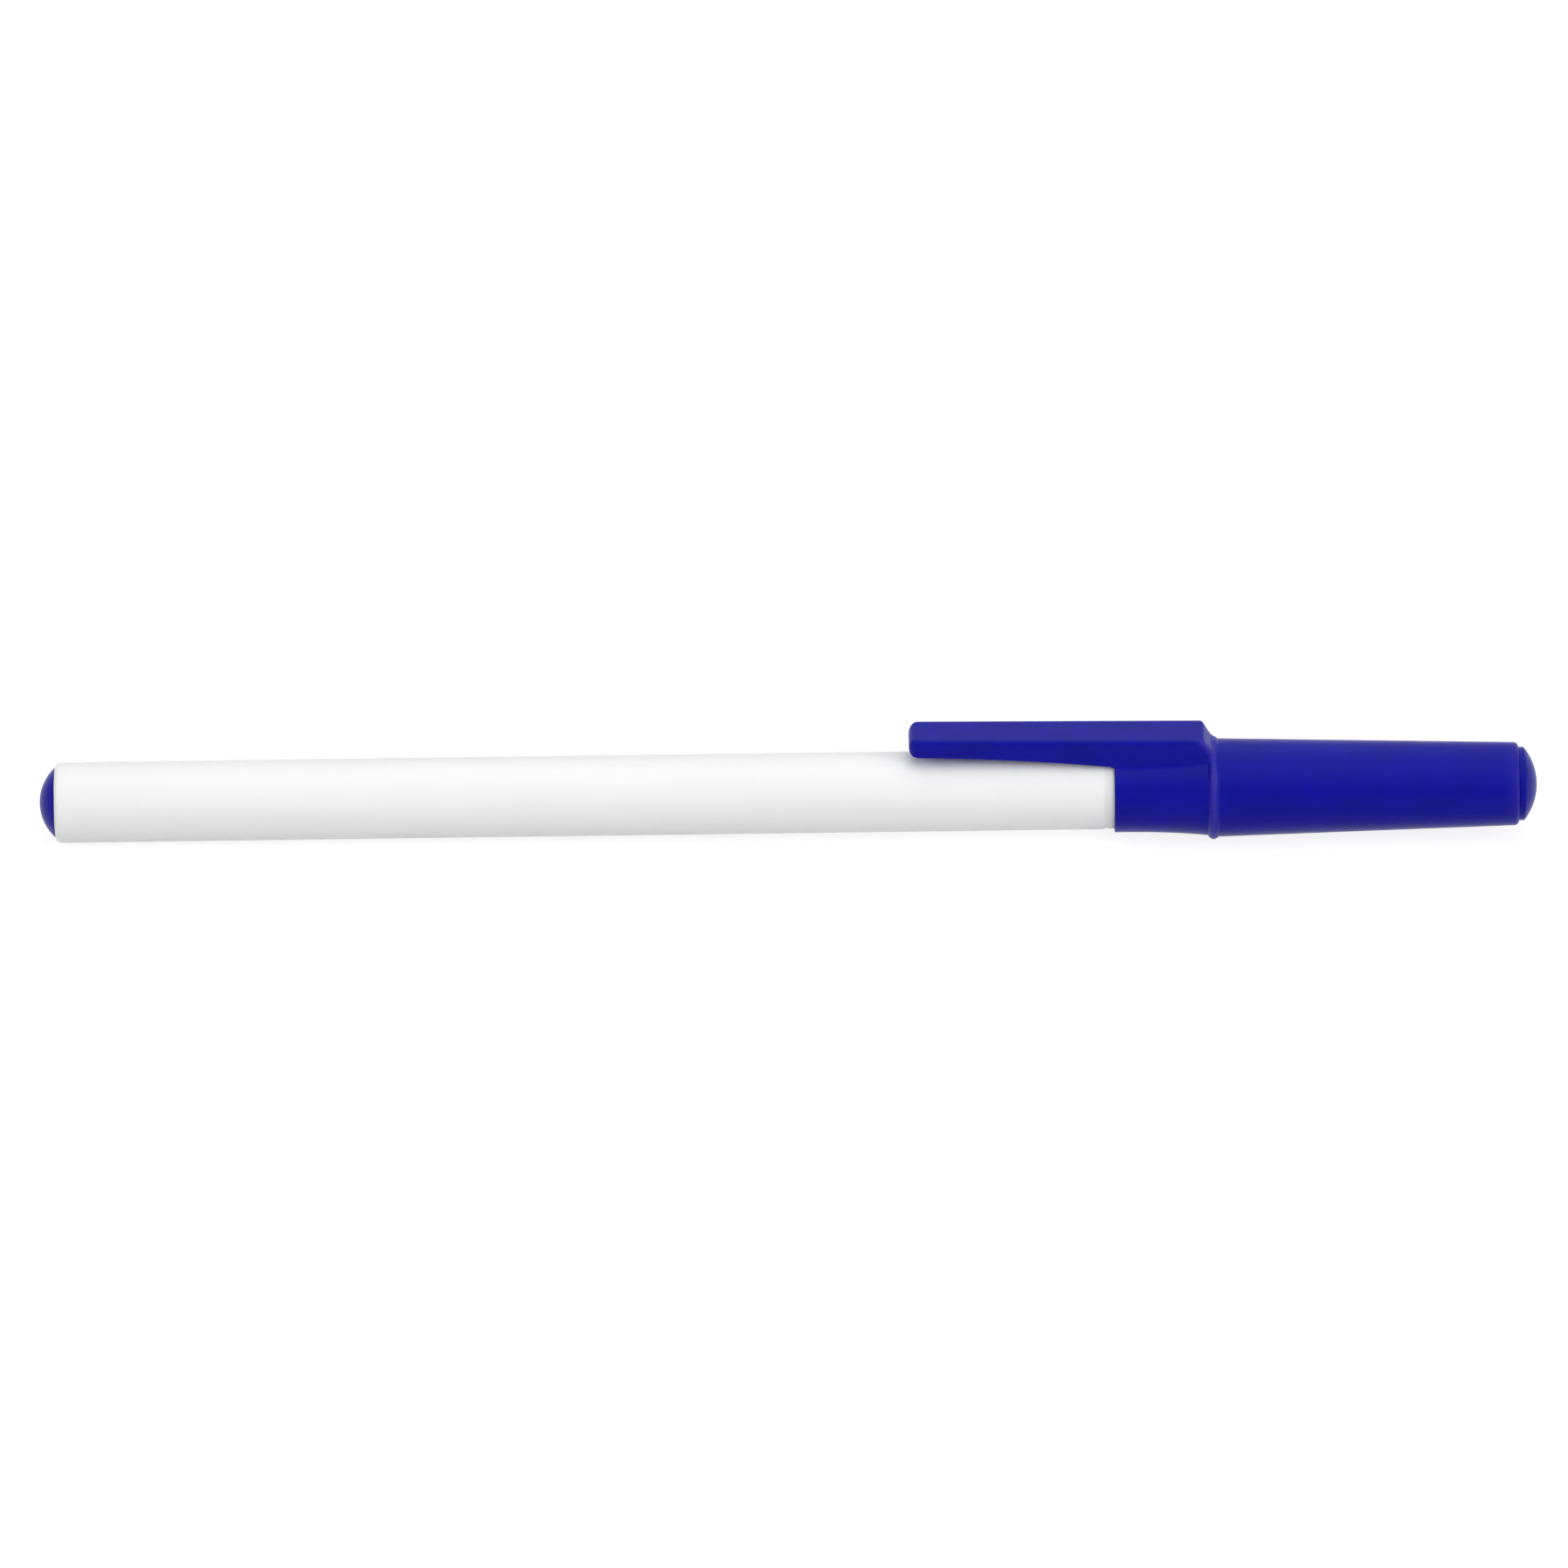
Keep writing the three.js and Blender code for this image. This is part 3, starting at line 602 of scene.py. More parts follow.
def seen_directly(tree):
    """1 where a ray comes from the camera, a mirror or glass, and 0 elsewhere."""
    path = tree.nodes.new("ShaderNodeLightPath").outputs
    mirrored_too = combine(tree, "MAXIMUM", path["Is Camera Ray"], path["Is Glossy Ray"])
    return combine(tree, "MAXIMUM", mirrored_too, path["Is Transmission Ray"])


def white_floor(stage):
    """Shows a lit floor as white, with a pale shadow, to the camera, mirrors and glass only.

    They see a share of glow and the rest as lit floor. All other light sees the floor's own tone.
    """
    own_tone = (stage.floor_tone,) * 3
    material, shader = new_material("floor", own_tone, 0.9)
    tree = material.node_tree
    seen = seen_directly(tree)
    lit_tone = (stage.floor_seen - stage.floor_glow,) * 3
    tree.links.new(two_tones(tree, seen, own_tone, lit_tone), shader.inputs["Base Color"])
    glow = to_range(tree, seen, 0, stage.floor_glow, start=0, end=1)
    tree.links.new(glow, shader.inputs["Emission Strength"])
    shader.inputs["Emission Color"].default_value = (1, 1, 1, 1)
    shader.inputs["Specular IOR Level"].default_value = 0.0
    return material


def material_for(slot, finish):
    """The material of a slot, made once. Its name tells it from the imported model's own."""
    makers = {
        "white_plastic": white_plastic,
        "blue_plastic": blue_plastic,
        "point_metal": nickel_silver,
        "ball_metal": ball_metal,
        "tube_plastic": clear_tube,
        "ink_paste": ink_paste,
    }
    name = slot + "_finish"
    return bpy.data.materials.get(name) or makers[slot](name, finish)


def refinish(node, slot, finish):
    """A CAD node that keeps its mesh gets the slot's material."""
    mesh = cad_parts[node].data
    mesh.materials.clear()
    mesh.materials.append(material_for(slot, finish))


# Profiles and grids of the pieces

def barrel_profile(sizes):
    """Rear edge, straight wall, groove, band, shoulder, neck, nose, then back along the bore."""
    rear = BARREL_LOW.x
    front = BARREL_HIGH.x
    shoulder = rear + sizes.body_length
    band_start = shoulder - sizes.band_length
    groove = band_start - sizes.groove_width / 2
    groove_start = groove - sizes.groove_width
    band_radius = BARREL_RADIUS - sizes.band_step
    neck_radius = BARREL_RADIUS - sizes.neck_step
    bore_radius = BARREL_RADIUS - sizes.barrel_wall
    bore_end = front - sizes.nose_bore_length
    rear_edge = sizes.rear_edge
    groove_edge = sizes.groove_edge
    edge = sizes.shoulder_edge
    nose_edge = sizes.nose_edge
    return np.vstack([
        arc(rear + rear_edge, BARREL_RADIUS - rear_edge, rear_edge, 180, 90, 12),
        arc(groove_start, BARREL_RADIUS - groove_edge, groove_edge, 90, 45, 3),
        points((groove, BARREL_RADIUS - sizes.groove_depth), (band_start, band_radius)),
        arc(shoulder - edge, band_radius - edge, edge, 90, 0, 6),
        points((shoulder, neck_radius), (shoulder + sizes.neck_length, neck_radius)),
        arc(front - nose_edge, sizes.nose_radius - nose_edge, nose_edge, 83, 0, 6),
        points((front, sizes.nose_bore), (bore_end, sizes.nose_bore)),
        points((bore_end - sizes.bore_taper, bore_radius), (rear, bore_radius)),
    ])


# A plug's head points towards way (1 forward, -1 backward) from the face that it stops on.
Plug = namedtuple("Plug", "face way head_end spigot_end bore_radius head_radius edge_height corner")


def barrel_plug(sizes):
    """The plug in the barrel's rear end."""
    return Plug(
        face=BARREL_PLUG_LOW.x + sizes.barrel_plug_head,
        way=-1,
        head_end=BARREL_PLUG_LOW.x,
        spigot_end=BARREL_PLUG_HIGH.x,
        bore_radius=BARREL_RADIUS - sizes.barrel_wall,
        head_radius=(BARREL_PLUG_HIGH.z - BARREL_PLUG_LOW.z) / 2,
        edge_height=0,
        corner=sizes.barrel_plug_corner,
    )


def cap_plug(sizes):
    """The plug in the cap's end."""
    return Plug(
        face=CAP_PLUG_HIGH.x - sizes.cap_plug_head,
        way=1,
        head_end=CAP_PLUG_HIGH.x,
        spigot_end=CAP_PLUG_LOW.x,
        bore_radius=sizes.cap_end_bore,
        head_radius=(CAP_PLUG_HIGH.z - CAP_PLUG_LOW.z) / 2,
        edge_height=sizes.cap_plug_edge,
        corner=sizes.cap_plug_corner,
    )


def plug_grid(sizes, plug):
    """Grid of a plug: from its hollow's floor round the spigot's end to the head's middle.

    The radius is the profile's, plus the rib height where the turn has a rib.
    """
    turn, rib = rib_turn(sizes.plug_rib_width, plug.bore_radius, sizes.columns)
    radius = plug.bore_radius - sizes.plug_press - sizes.plug_rib_height
    inside = radius - sizes.plug_wall
    head = abs(plug.head_end - plug.face)
    end = -abs(plug.spigot_end - plug.face)
    lead = sizes.plug_lead_in
    hollow = points(
        (-sizes.plug_wall, 0), (-sizes.plug_wall, inside), (end, inside), (end, radius - lead),
        (end + lead, radius),
    )
    ribbed = points((end + 2 * lead, radius), (0, radius))
    top = dome(plug.edge_height, plug.head_radius, head - plug.edge_height, plug.corner)
    profile = np.vstack([hollow, ribbed, points((0, plug.head_radius)), top])
    rib_share = np.zeros((len(profile), 1))
    rib_share[len(hollow):len(hollow) + len(ribbed)] = 1
    station = plug.face + plug.way * profile[:, :1]
    reach = profile[:, 1:] + rib_share * rib * sizes.plug_rib_height
    return polar(station, reach, plug.way * turn[None, :])


def holder_profile(sizes):
    """Spigot, seat in the nose, cone, then back along the stem's bore and the ink channel."""
    rear = HOLDER_LOW.x
    front = HOLDER_HIGH.x
    seat = BARREL_HIGH.x + sizes.seat_gap
    seat_rear = seat - sizes.holder_seat_length
    stem_end = POINT_LOW.x - sizes.seat_gap
    edge = sizes.holder_edge
    return np.vstack([
        points((rear, sizes.holder_spigot), (seat_rear, sizes.holder_spigot)),
        points((seat_rear, sizes.holder_seat), (seat, sizes.holder_seat)),
        arc(seat + edge, sizes.nose_radius - edge, edge, 180, 80, 6),
        arc(front - edge, sizes.holder_front - edge, edge, 79, 0, 6),
        points((front, sizes.stem_bore), (stem_end, sizes.stem_bore)),
        points((stem_end, sizes.holder_channel), (rear, sizes.holder_channel)),
    ])


def point_profile(sizes):
    """Stem, collar and cone to the lip, then the ball's socket and the ink channel.

    The socket is a sphere about the ball, cut by the lip in front and by the channel behind.
    """
    ball_centre = (BALL_HIGH.x + BALL_LOW.x) / 2
    socket = (BALL_HIGH.x - BALL_LOW.x) / 2 + sizes.ball_gap
    lip = POINT_HIGH.x
    lip_turn = math.acos((lip - ball_centre) / socket)
    channel_turn = math.pi - math.asin(sizes.point_channel / socket)
    collar_radius = (POINT_HIGH.z - POINT_LOW.z) / 2
    collar = POINT_LOW.x + sizes.stem_length
    stem_radius = sizes.stem_bore - sizes.seat_gap
    edge = sizes.collar_edge
    return np.vstack([
        points((POINT_LOW.x, stem_radius), (collar, stem_radius)),
        arc(collar + edge, collar_radius - edge, edge, 180, 90, 4),
        points((collar + sizes.collar_length, collar_radius)),
        points((lip, socket * math.sin(lip_turn) + sizes.lip_wall)),
        arc(ball_centre, 0, socket, math.degrees(lip_turn), math.degrees(channel_turn), 16),
        points((POINT_LOW.x, sizes.point_channel)),
    ])


def ball_profile():
    """Half a circle, with both ends on the axis."""
    profile = arc((BALL_HIGH.x + BALL_LOW.x) / 2, 0, (BALL_HIGH.x - BALL_LOW.x) / 2, 180, 0, 32)
    profile[[0, -1], 1] = 0
    return profile


def mouth_at(sizes):
    """Station of the cap's mouth."""
    return CAP_LOW.x + sizes.mouth_station


def flange_at(sizes):
    """Station of the flange ring's crest."""
    return mouth_at(sizes) + sizes.flange_station


def cap_profile_radius(sizes, station):
    """Radius of the cap's outside at each station, clip left out.

    The mouth and the rim are rounded by quarter circles, the skirt flares by a power of 2.5, the
    flange is a ring whose crest is a parabola, and the upper body is a straight taper.
    """
    mouth = mouth_at(sizes)
    flange = flange_at(sizes)
    rim = CAP_HIGH.x
    half = sizes.flange_width / 2
    along = np.clip((station - mouth) / (flange - half - mouth), 0, 1)
    skirt = sizes.mouth_radius + sizes.skirt_flare * along**2.5
    taper = (station - flange - half) / (rim - flange - half)
    upper = sizes.upper_radius + (sizes.rim_radius - sizes.upper_radius) * taper
    body = np.where(station < flange, skirt, upper)
    ring_radius = (CAP_HIGH.y - CAP_LOW.y) / 2
    foot = np.where(station < flange, sizes.mouth_radius + sizes.skirt_flare, sizes.upper_radius)
    ring = ring_radius - (ring_radius - foot) * ((station - flange) / half) ** 2
    outside = np.where(np.abs(station - flange) < half, ring, body)
    outside = outside - end_rounding(station - mouth, sizes.mouth_edge)
    return outside - end_rounding(rim - station, sizes.rim_edge)


def end_rounding(distance, size):
    """How far a quarter circle of this size draws a surface in, at a distance from its end."""
    inside = np.clip(1 - distance / size, 0, 1)
    return size * (1 - np.sqrt(1 - inside**2))


def clip_half_width(sizes, station):
    """Half of the clip's width: a straight taper, drawn in by a quarter circle at the free end."""
    from_end = station - CAP_LOW.x
    along = np.clip(from_end / (flange_at(sizes) - CAP_LOW.x), 0, 1)
    width = sizes.clip_end_width + (sizes.clip_root_width - sizes.clip_end_width) * along
    return width / 2 - end_rounding(from_end, sizes.clip_corner)


def clip_height(sizes, station):
    """Height of the clip's outer face: rounded free end, straight face, rounded crest and slope."""
    from_end = station - CAP_LOW.x
    top = flange_at(sizes) - sizes.slope_start
    crest_start = top - sizes.slope_edge * math.tan(sizes.slope_angle / 2)
    crest_length = sizes.slope_edge * math.sin(sizes.slope_angle)
    along = np.clip(from_end / (crest_start - CAP_LOW.x), 0, 1)
    face = sizes.clip_end_height + (sizes.clip_root_height - sizes.clip_end_height) * along
    past = np.clip(station - crest_start, 0, crest_length)
    crest = sizes.slope_edge - np.sqrt(sizes.slope_edge**2 - past**2)
    slope = np.maximum(station - crest_start - crest_length, 0) * math.tan(sizes.slope_angle)
    return np.maximum(face - end_rounding(from_end, sizes.clip_end_outer) - crest - slope, 0)


def clip_edge_radius(sizes, station):
    """Rounding of the clip's outer edges: even, then wider by a smooth step at the slope."""
    start = flange_at(sizes) - sizes.slope_start - sizes.slope_side_lead
    share = smooth_step((station - start) / sizes.slope_side_length)
    return sizes.clip_edge + (sizes.slope_side_edge - sizes.clip_edge) * share


def smooth_step(value):
    """3x squared minus 2x cubed between 0 and 1, and level beyond."""
    share = np.clip(value, 0, 1)
    return share**2 * (3 - 2 * share)


def block_radius(angle, half_width, height, edge):
    """Where a ray from the axis leaves the clip's block: by its face, side or rounded edge.

    On the round it is the far root of the ray's crossing with the circle about the edge's centre.
    """
    across = np.sin(np.abs(angle))
    up = np.cos(angle)
    edge_across = half_width - edge
    edge_up = height - edge
    miss = np.clip(edge_up * across - edge_across * up, -edge, edge)
    on_round = edge_across * across + edge_up * up + np.sqrt(edge**2 - miss**2)
    on_side = half_width / np.maximum(across, TINY)
    radius = np.where(half_width * up <= edge_up * across, on_side, on_round)
    return np.where(height * across <= edge_across * up, height / np.maximum(up, TINY), radius)


def smooth_max(first, second, blend):
    """The larger of two values, with a parabola where they differ by less than blend."""
    blend = np.maximum(blend, TINY)
    share = np.clip(0.5 + 0.5 * (first - second) / blend, 0, 1)
    return second + (first - second) * share + blend * share * (1 - share)


def clip_angles(half_width, height, edge, foot_radius):
    """Angles from the clip's middle to its side's foot: an array of stations by columns.

    The columns follow the block's face, its rounded edge and its side, and stay in order where
    that edge sinks into the cap.
    """
    foot = np.arcsin(half_width / foot_radius)
    room = foot / 12
    edge_start = np.minimum(np.arctan2(half_width - edge, height), foot - 2 * room)
    edge_end = np.arctan2(half_width, np.maximum(height - edge, 0))
    edge_stop = np.clip(edge_end, edge_start + room / 2, foot - room)
    return piecewise([np.zeros_like(foot), edge_start, edge_stop, foot], CLIP_COLUMNS)


def piecewise(knots, steps):
    """Rows of values that run evenly from knot to knot."""
    parts = [np.stack([knots[0]], axis=1)]
    for start, end, count in zip(knots, knots[1:], steps):
        share = np.arange(1, count + 1) / count
        parts.append(start[:, None] + (end - start)[:, None] * share)
    return np.hstack(parts)


def mirrored(half):
    """Angles from the middle to one side, continued to the other side."""
    return np.hstack([-half[:, :0:-1], half])


def spaced(*stretches):
    """Stations in order, from (start, end, step) stretches, without those that nearly coincide."""
    every = np.unique(np.concatenate([
        np.linspace(start, end, max(2, math.ceil((end - start) / step) + 1))
        for start, end, step in stretches
    ]))
    keep = np.concatenate([[True], np.diff(every) > LEAST_STEP])
    keep[-1] = True
    return every[keep]


def cap_outside(sizes):
    """Grid of the cap's outside from the mouth to the rim, and its columns' angles.

    The radius is the smooth maximum of the cap's profile and the clip's block, so that the clip
    grows out of the skirt with a fillet. The fillet fades out at the mouth.
    """
    mouth = mouth_at(sizes)
    rim = CAP_HIGH.x
    slope = flange_at(sizes) - SLOPE_ROWS_BEHIND
    ring = flange_at(sizes) - RING_ROWS_BEHIND
    body = flange_at(sizes) + RING_ROWS_AHEAD
    station = spaced(
        (mouth, mouth + sizes.mouth_edge, MOUTH_STEP),
        (mouth, slope, SKIRT_STEP),
        (slope, ring, SLOPE_STEP),
        (ring, body, EDGE_STEP),
        (body, rim - sizes.rim_edge, BODY_STEP),
        (rim - sizes.rim_edge, rim, EDGE_STEP),
    )
    radius = cap_profile_radius(sizes, station)
    half_width = clip_half_width(sizes, station)
    height = clip_height(sizes, station)
    edge = clip_edge_radius(sizes, station)
    on_clip = clip_angles(half_width, height, edge, radius)
    foot = on_clip[:, -1]
    beside = foot + FOOT_REACH / radius
    skirt = piecewise([foot, beside, np.full_like(foot, math.pi)], SKIRT_COLUMNS)[:, 1:]
    angle = mirrored(np.hstack([on_clip, skirt]))
    block = block_radius(angle, half_width[:, None], height[:, None], edge[:, None])
    blend = sizes.clip_foot_fillet * smooth_step((station - mouth) / sizes.clip_foot_fade)
    reach = smooth_max(block, radius[:, None], blend[:, None])
    reach = np.where(np.abs(angle) > math.pi / 2, radius[:, None], reach)
    return polar(station[:, None], reach, angle), angle


def clip_underside_radius(sizes, station):
    """Radius of the clip's underside, coaxial with the barrel.

    It opens from the root by one minus a power of 1.7, runs nearly level to the free end, and
    rounds up there by a quarter circle. At the root it bends down to the mouth's rounded edge
    along a quarter of an ellipse.
    """
    root = mouth_at(sizes) - sizes.clip_root_fillet
    from_end = station - CAP_LOW.x
    along = np.clip(from_end / (root - CAP_LOW.x), 0, 1)
    opening = (sizes.clip_end_gap - sizes.clip_root_gap) * (1 - along**1.7)
    end_edge = end_rounding(from_end, sizes.clip_end_under)
    root_radius = BARREL_RADIUS + sizes.clip_root_gap
    lip_radius = sizes.mouth_radius - sizes.mouth_edge
    past_root = np.clip((station - root) / sizes.clip_root_fillet, 0, 1)
    bend = (root_radius - lip_radius) * (1 - np.sqrt(1 - past_root**2))
    return root_radius + opening + end_edge - bend


def clip_grids(sizes):
    """Grids of the clip behind the mouth: its outside, and its underside with the same columns.

    The bead is a paraboloid that stands out of the underside. The underside's edges are rounded
    by quarter circles, which fade out at the mouth.
    """
    mouth = mouth_at(sizes)
    end = CAP_LOW.x
    bead_rows_end = end + BEAD_ROWS_AHEAD
    root_rows_start = mouth - ROOT_ROWS_BEHIND
    station = spaced(
        (end, end + sizes.clip_corner, EDGE_STEP),
        (end + sizes.clip_corner, bead_rows_end, BEAD_STEP),
        (bead_rows_end, root_rows_start, CLIP_STEP),
        (root_rows_start, mouth, EDGE_STEP),
    )
    half_width = clip_half_width(sizes, station)
    height = clip_height(sizes, station)
    under = clip_underside_radius(sizes, station)
    under_edge = sizes.clip_under_edge * np.clip((mouth - station) / sizes.clip_under_fade, 0, 1)
    side_end = under + under_edge
    edge = clip_edge_radius(sizes, station)
    angle = mirrored(clip_angles(half_width, height, edge, side_end))
    outside = block_radius(angle, half_width[:, None], height[:, None], edge[:, None])
    outside[:, [0, -1]] = side_end[:, None]

    off_side = half_width[:, None] - side_end[:, None] * np.abs(np.sin(angle))
    lift = end_rounding(np.maximum(off_side, 0), np.maximum(under_edge, TINY)[:, None])
    along = (station - end - sizes.bead_station) / (sizes.bead_length / 2)
    across = under[:, None] * np.sin(angle) / (sizes.bead_width / 2)
    bead_height = (under - BARREL_RADIUS - sizes.bead_gap)[:, None]
    bead = bead_height * np.maximum(0, 1 - along[:, None]**2 - across**2)
    underside = under[:, None] + lift - bead
    underside[:, [0, -1]] = side_end[:, None]
    return polar(station[:, None], outside, angle), polar(station[:, None], underside, angle)


def cap_bore_grid(sizes):
    """Grid of the cap's inside from the rim back to the mouth, and its columns' angles.

    It has the plug's bore, a taper to the neck's, grip ribs and a lead-in.
    """
    mouth = mouth_at(sizes)
    rim = CAP_HIGH.x
    bore = sizes.cap_bore
    rib_start = mouth + sizes.grip_rib_start
    rib_end = rib_start + sizes.grip_rib_length
    height = sizes.grip_rib_height
    ahead = points(
        (rim, sizes.cap_end_bore), (rim - sizes.cap_plug_spigot, sizes.cap_end_bore),
        (mouth + sizes.neck_length, bore), (rib_end, bore),
    )
    ribbed = points((rib_end - height, bore), (rib_start + height, bore))
    behind = points(
        (rib_start, bore), (mouth + sizes.mouth_lead_in, bore), (mouth, bore + sizes.mouth_lead_in),
    )
    profile = np.vstack([ahead, ribbed, behind])
    rib_share = np.zeros((len(profile), 1))
    rib_share[len(ahead):len(ahead) + len(ribbed)] = 1
    turn, rib = rib_turn(sizes.grip_rib_width, bore, sizes.columns)
    radius = profile[:, 1:] - rib_share * rib * height
    return polar(profile[:, :1], radius, turn[None, :]), turn


def zip_faces(first, first_angles, second, second_angles):
    """Triangles between two full turns of vertices that are spaced differently.

    Both turns' corners are sorted by angle. Each corner reached closes a triangle with the one
    before it on its own turn and the last one passed on the other turn.
    """
    steps = np.concatenate([
        np.column_stack([angles, np.full(len(angles), turn), np.arange(len(angles))])
        for turn, angles in enumerate((first_angles, second_angles))
    ])
    steps = steps[np.lexsort((steps[:, 1], steps[:, 0]))]
    turn = steps[:, 1].astype(int)
    number = steps[:, 2].astype(int)
    passed_first = np.cumsum(turn == 0) - 1
    passed_second = np.cumsum(turn == 1) - 1
    on_first = turn == 0
    on_first_turn = first[np.where(on_first, number - 1, passed_first) % len(first)]
    on_second_turn = second[np.where(on_first, passed_second, number - 1) % len(second)]
    reached = np.where(on_first, first[number % len(first)], second[number % len(second)])
    return np.column_stack([on_first_turn, on_second_turn, reached])


def bell(distance, width):
    """A bell curve: e to the power of minus the square of distance over width."""
    return np.exp(-(distance / width) ** 2)


def cap_highlight_and_wear(sizes, place):
    """How pale each point of the cap is painted, from 0 to 1: a painted highlight, partly wear.

    Bell curves about the crest of the flange ring, the rim, and the edges beside the slope.
    """
    station = place[:, 0]
    across = np.abs(place[:, 1])
    up = place[:, 2] - AXIS_HEIGHT
    from_flange = station - flange_at(sizes)
    from_rim = station - CAP_HIGH.x + sizes.rim_highlight_and_wear_station
    outside = np.hypot(across, up) > sizes.cap_bore + BORE_MARGIN
    ring = bell(from_flange, sizes.ring_highlight_and_wear) * outside
    rim = bell(from_rim, sizes.rim_highlight_and_wear) * outside * sizes.rim_highlight_and_wear_share
    inset = ROUNDING_INSET * clip_edge_radius(sizes, station)
    from_edge = np.hypot(
        across - clip_half_width(sizes, station) + inset, up - clip_height(sizes, station) + inset,
    )
    slope = np.clip((from_flange + sizes.slope_start) / sizes.slope_highlight_and_wear_start + 1, 0, 1)
    beside_slope = bell(from_edge, sizes.slope_highlight_and_wear) * slope * (from_flange < 0)
    return np.maximum.reduce([ring, rim, beside_slope])


def add_rows(part_list, grid, **options):
    """Adds a grid to a list of parts, with its faces numbered after the vertices so far."""
    first = sum(earlier.reshape(-1, 3).shape[0] for earlier, _ in part_list)
    faces = grid_faces(grid.shape[0], grid.shape[1], first, **options)
    part_list.append((grid, faces))
    return first


# Operators

class PEN_OT_barrel(bpy.types.Operator):
    """Make the white barrel"""

    bl_idname = "pen.barrel"
    bl_label = "Barrel"

    def execute(self, context):
        sizes = context.scene.pen_sizes
        material = material_for("white_plastic", context.scene.pen_finish)
        barrel = revolved_piece("barrel_shell", barrel_profile(sizes), material, sizes.columns)
        dress(barrel, "pen", "white_plastic", "barrel")
        return {"FINISHED"}


class PEN_OT_end_plugs(bpy.types.Operator):
    """Make the domed plugs of the barrel and the cap"""

    bl_idname = "pen.end_plugs"
    bl_label = "End plugs"

    def execute(self, context):
        sizes = context.scene.pen_sizes
        material = material_for("blue_plastic", context.scene.pen_finish)
        for name, plug, body, node in (
            ("barrel_plug_dome", barrel_plug(sizes), "pen", "barrel_end_plug"),
            ("cap_plug_dome", cap_plug(sizes), "cap", "cap_end_plug"),
        ):
            grid = plug_grid(sizes, plug)
            piece = make_piece(name, [(grid, grid_faces(*grid.shape[:2]))], material)
            dress(piece, body, "blue_plastic", node)
        return {"FINISHED"}


class PEN_OT_writing_end(bpy.types.Operator):
    """Make the tip holder, the metal point and its ball, and finish the ink tube and the ink"""

    bl_idname = "pen.writing_end"
    bl_label = "Writing end"

    def execute(self, context):
        sizes = context.scene.pen_sizes
        finish = context.scene.pen_finish
        blue = material_for("blue_plastic", finish)
        holder = revolved_piece("tip_holder_cone", holder_profile(sizes), blue, sizes.point_columns)
        dress(holder, "pen", "blue_plastic", "tip_holder")

        metal = material_for("point_metal", finish)
        point = revolved_piece("metal_point", point_profile(sizes), metal, sizes.point_columns)
        dress(point, "pen", "point_metal", "writing_point")

        steel = material_for("ball_metal", finish)
        ball = revolved_piece("ball", ball_profile(), steel, sizes.ball_columns, closed=False)
        dress(ball, "ball", "ball_metal", "writing_ball")

        refinish("ink_tube", "tube_plastic", finish)
        refinish("ink_column", "ink_paste", finish)
        return {"FINISHED"}


class PEN_OT_cap(bpy.types.Operator):
    """Make the blue cap with its clip"""

    bl_idname = "pen.cap"
    bl_label = "Cap and clip"

    def execute(self, context):
        sizes = context.scene.pen_sizes
        outside, turn = cap_outside(sizes)
        bore, bore_turn = cap_bore_grid(sizes)
        clip_outside, clip_underside = clip_grids(sizes)

        parts = []
        outside_first = add_rows(parts, outside, close_columns=False)
        bore_first = add_rows(parts, bore)
        add_rows(parts, clip_outside, close_columns=False)
        underside_first = add_rows(parts, clip_underside[::-1], close_columns=False)
        add_rows(parts, np.stack([clip_underside[0], clip_outside[0]]), close_columns=False)

        # At the mouth the clip's underside takes the place of the outside's columns on the clip.
        full_turn = np.arange(outside.shape[1] - 1)
        rim = outside_first + (outside.shape[0] - 1) * outside.shape[1] + full_turn
        mouth = outside_first + full_turn
        clip_columns = clip_underside.shape[1]
        beside = sum(SKIRT_COLUMNS)
        mouth[beside:beside + clip_columns] = underside_first + np.arange(clip_columns)
        from_behind = np.roll(np.arange(bore.shape[1]), -np.searchsorted(bore_turn, math.pi))
        bore_turn = bore_turn[from_behind]
        bore_turn = np.where(bore_turn >= math.pi, bore_turn - FULL_TURN, bore_turn)
        bore_rim = bore_first + from_behind
        bore_mouth = bore_rim + (bore.shape[0] - 1) * bore.shape[1]
        ends = [
            zip_faces(rim, turn[-1, :-1], bore_rim, bore_turn),
            zip_faces(bore_mouth, bore_turn, mouth, turn[0, :-1]),
        ]

        material = material_for("blue_plastic", context.scene.pen_finish)
        cap = make_piece("cap_shell", parts, material, ends)
        # Pales the cap's ridges: a painted highlight, and partly wear.
        self.add_highlight_and_wear(sizes, cap.data)
        dress(cap, "cap", "blue_plastic", "cap")
        return {"FINISHED"}

    def add_highlight_and_wear(self, sizes, mesh):
        """Keeps each vertex's painted highlight, partly wear, as the mesh's own attribute."""
        place = np.empty(3 * len(mesh.vertices), np.float32)
        mesh.vertices.foreach_get("co", place)
        wear = mesh.attributes.new(HIGHLIGHT_AND_WEAR, "FLOAT", "POINT")
        share = cap_highlight_and_wear(sizes, place.reshape(-1, 3))
        wear.data.foreach_set("value", share.astype(np.float32))


